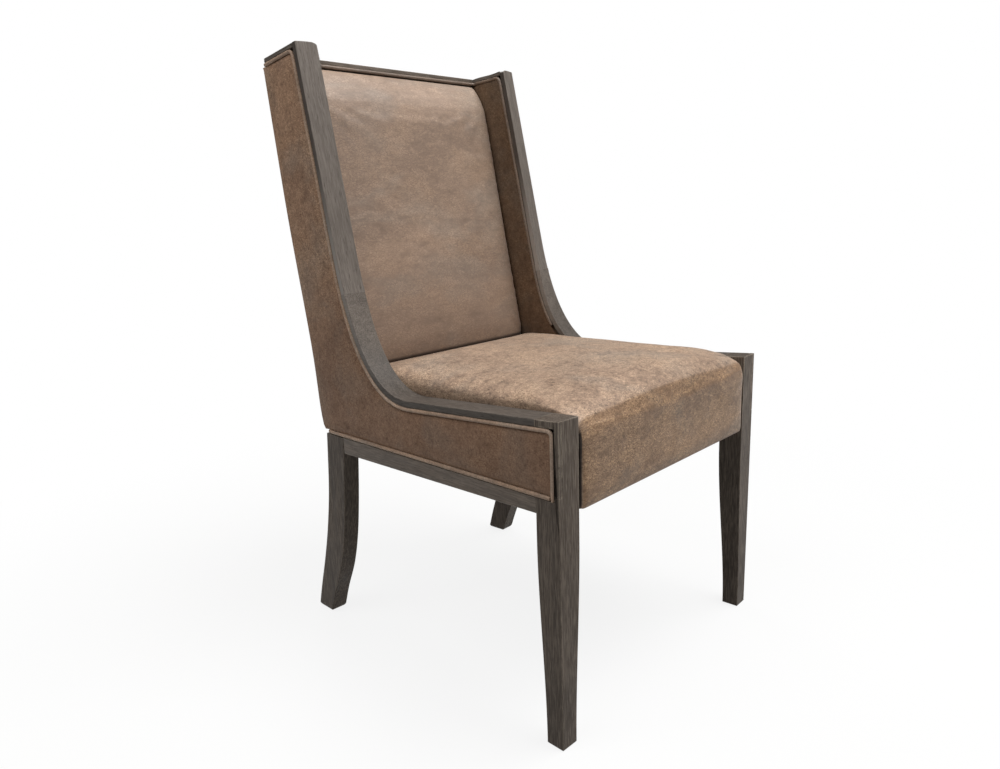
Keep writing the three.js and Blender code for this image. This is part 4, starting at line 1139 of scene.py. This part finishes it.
def build_welts():
    post = STRIP_DEPTH + GAP + WELT_ROOM / 2
    line, top = wing_line(-1, WELT_ROOM / 2, post)
    foot = (post, show_top(post) + GAP + 0.2)
    level = welt_top(630)
    end = (629, level)
    outer = [foot, *corner(foot, line[0], line[1], WELT_CORNER), *line[2:]]
    outer += [*corner(line[-1], top, end, WELT_CORNER), end]
    # Its end turns in to the outside back
    tucked = [(1.3, 632.5, level), (3.2, 633.4, level), (10.9, 633.4, level)]
    path = place([*[(WELT_DEPTH, u, z) for u, z in outer], *tucked])
    for side, mirror in SIDES:
        welt(f"side_welt_leather_{side}", path, 3, mirror, f"side_welt_{side}")

    # Round the inside of the wings, and across under the top rail
    t = FRAME - 0.6
    line, top = wing_line(0.5, WELT_ROOM / 2)
    half = [*line, *corner(line[-1], top, (CAP_FRONT, welt_top(CAP_FRONT)), WELT_CORNER)]
    half += [(u, welt_top(u)) for u in np.linspace(half[-1][0], 594, 10)[1:]]
    level = welt_top(CAP_FRONT)
    turn = place([(t, 596, level + 0.8), (t, 603.5, level), (t + 6, 603.5, level)])
    right = np.vstack([place(turned([(t, u, z) for u, z in half])), curve(*turn, 7)])
    welt("inner_welt_leather", both_sides(right), 5, 1, "inner_welt", leather_welt_shaded)

    # Above the rails
    t, start, rear = WELT_DEPTH, STRIP_DEPTH + WELT_ROOM + 1.2, 532
    level = show_top(rear) + WELT_ROOM / 2
    turn = place([(t, rear - WELT_CORNER, level), (t, rear, level), (t + WELT_CORNER, rear, level)])
    ahead = place([(t, u, show_top(u) + WELT_ROOM / 2) for u in (start, 270)])
    right = np.vstack([ahead, curve(*turn, 8)])
    welt("bottom_welt_leather", both_sides(right), 7, 1, "bottom_welt")


def dust_cover():
    """Black cambric stapled under the seat frame, notched round the legs, with a little sag."""
    inner = np.linspace(-1, 1, 21)
    edge = (0.0, 9.0, 19.0, 29.0)  # its side strips, in from its outer edge

    def columns(y):
        outer = half_width(12, y)
        left = [outer - inset for inset in edge[:-1]]
        return [*[-x for x in left], *(inner * (outer - edge[-1])), *left[::-1]]

    ys = [15.5, 30, 45.5, *np.linspace(60, 470, 22), 482.5, 505, 528]
    first, last = 3, 3 + len(inner) - 1
    points = []
    for y in ys:
        for x in columns(y):
            sag = 2.2 * (1 - (x / 262) ** 2) * math.sin(math.pi * np.clip((y - 15) / 513, 0, 1))
            ripple = 0.35 * math.sin(x / 17.0 + y / 41.0)
            points.append((x, y + Y0, rail_bottom(y) - 1.0 - sag - ripple))
    width = len(inner) + 6
    faces = []
    for j in range(len(ys) - 1):
        between_legs = 45 < (ys[j] + ys[j + 1]) / 2 < 483
        for i in range(width - 1):
            if between_legs or first <= i < last:
                a, b = j * width + i, (j + 1) * width + i
                faces.append((a, b, b + 1, a + 1))
    obj = piece("dust_cover_cloth", points, faces)
    with edited(obj) as bm:
        bmesh.ops.delete(bm, geom=[v for v in bm.verts if not v.link_faces], context="VERTS")
    modifier(obj, "SOLIDIFY", thickness=0.8 * MM)
    bake(obj)
    outward(obj)
    smooth(obj, 40)
    dress(obj, cambric, "dust_cover", "dust_cover")


# Build
build_wood()
seat_cushion()
back_cushion()
build_panels()
outside_back()
build_welts()
dust_cover()

hidden = {"frame_wood": raw_wood(), "webbing": webbing, "glide": nylon()}
slots = {row["node"]: row["material_slot"] for row in frame["record"]["subparts"]}
for name, obj in frame["nodes"].items():
    material = hidden.get(slots[name])
    if material and not obj.hide_render:
        obj.data.materials.clear()
        obj.data.materials.append(material)


# Camera, fitted to the photograph
def camera():
    at = Vector((-999.217, -586.174 + Y0, 741.153)) * MM
    yaw, pitch, roll = (math.radians(v) for v in (46.73755, -13.09767, -1.88578))
    forward = Vector((math.sin(yaw) * math.cos(pitch), math.cos(yaw) * math.cos(pitch), math.sin(pitch)))
    level = Vector((math.cos(yaw), -math.sin(yaw), 0))
    up = level.cross(forward)
    right = math.cos(roll) * level + math.sin(roll) * up
    above = -math.sin(roll) * level + math.cos(roll) * up
    lens = 36 * 776.456 / 1000  # focal length in pixels over the photo's width
    data = put(bpy.data.cameras.new("camera"), sensor_fit="HORIZONTAL", sensor_width=36, lens=lens)
    data.clip_start = 0.01
    obj = linked("camera", data)
    obj.matrix_world = Matrix.Translation(at) @ Matrix((right, above, -forward)).transposed().to_4x4()
    bpy.context.scene.camera = obj


# Studio: pale floor and world that the camera sees as white, and soft lamps, in metres
LAMP_TARGET = (0, 0, 0.55)


def lamp(name, at, size, power):
    data = put(bpy.data.lights.new(name, "AREA"), shape="RECTANGLE", energy=power)
    data.size, data.size_y = size
    obj = linked(name, data)
    obj.location = at
    obj.rotation_euler = (Vector(LAMP_TARGET) - Vector(at)).to_track_quat("-Z", "Y").to_euler()


def studio():
    scene = bpy.context.scene
    scene.view_settings.view_transform = "Standard"
    scene.world = bpy.data.worlds.new("studio")
    n = Nodes(scene.world)
    shown = n.tree.nodes["Background"]
    n.feed(shown.inputs["Color"], (1, 1, 1, 1))
    n.feed(shown.inputs["Strength"], 1.0)
    light = n.add("Background", {"Color": (1.0, 0.985, 0.965, 1), "Strength": 0.13})
    straight = n.add("LightPath")["Is Camera Ray"]
    mix = n.add("MixShader", {0: straight, 1: light[0], 2: shown.outputs[0]})
    n.feed(n.tree.nodes["World Output"].inputs["Surface"], mix[0])

    far = 6000
    corners = [(x * far, y * far, -0.3) for x, y in ((-1, -1), (1, -1), (1, 1), (-1, 1))]
    floor = piece("floor", corners, [(0, 1, 2, 3)])
    n = material_nodes("floor")
    rays = n.add("LightPath")
    pale = n.mix(rays["Is Camera Ray"], (0.26, 0.26, 0.255, 1), (0.82, 0.82, 0.81, 1))
    n.set(Base_Color=pale, Roughness=0.9, Specular_IOR_Level=0.1)
    glow = n.add("Emission", {"Color": (1, 1, 1, 1), "Strength": 1.0})
    # The shadow stays near the chair; further out the floor is as white as the backdrop
    out = n.add("TexCoord")["Object"]
    reach = n.add("VectorMath", {0: out}, operation="LENGTH")["Value"]
    seen = n.math("MAXIMUM", rays["Is Camera Ray"], rays["Is Glossy Ray"])
    seen = n.math("MAXIMUM", seen, rays["Is Transmission Ray"])
    share = n.times(seen, n.ramp(reach, 0.5, 1.5, 0.86, 1.0))
    mix = n.add("MixShader", {0: share, 1: n.shader.outputs[0], 2: glow[0]})
    n.feed(n.tree.nodes["Material Output"].inputs["Surface"], mix[0])
    floor.data.materials.append(n.owner)

    lamp("key", (0.8, -1.2, 4.0), (2.4, 2.4), 160)
    lamp("left", (-1.5, 0.2, 2.7), (1.4, 1.4), 25)
    lamp("front", (0.9, -2.7, 1.1), (1.6, 1.2), 9)
    lamp("rim", (1.2, 2.2, 1.8), (1.4, 1.4), 10)


camera()
studio()
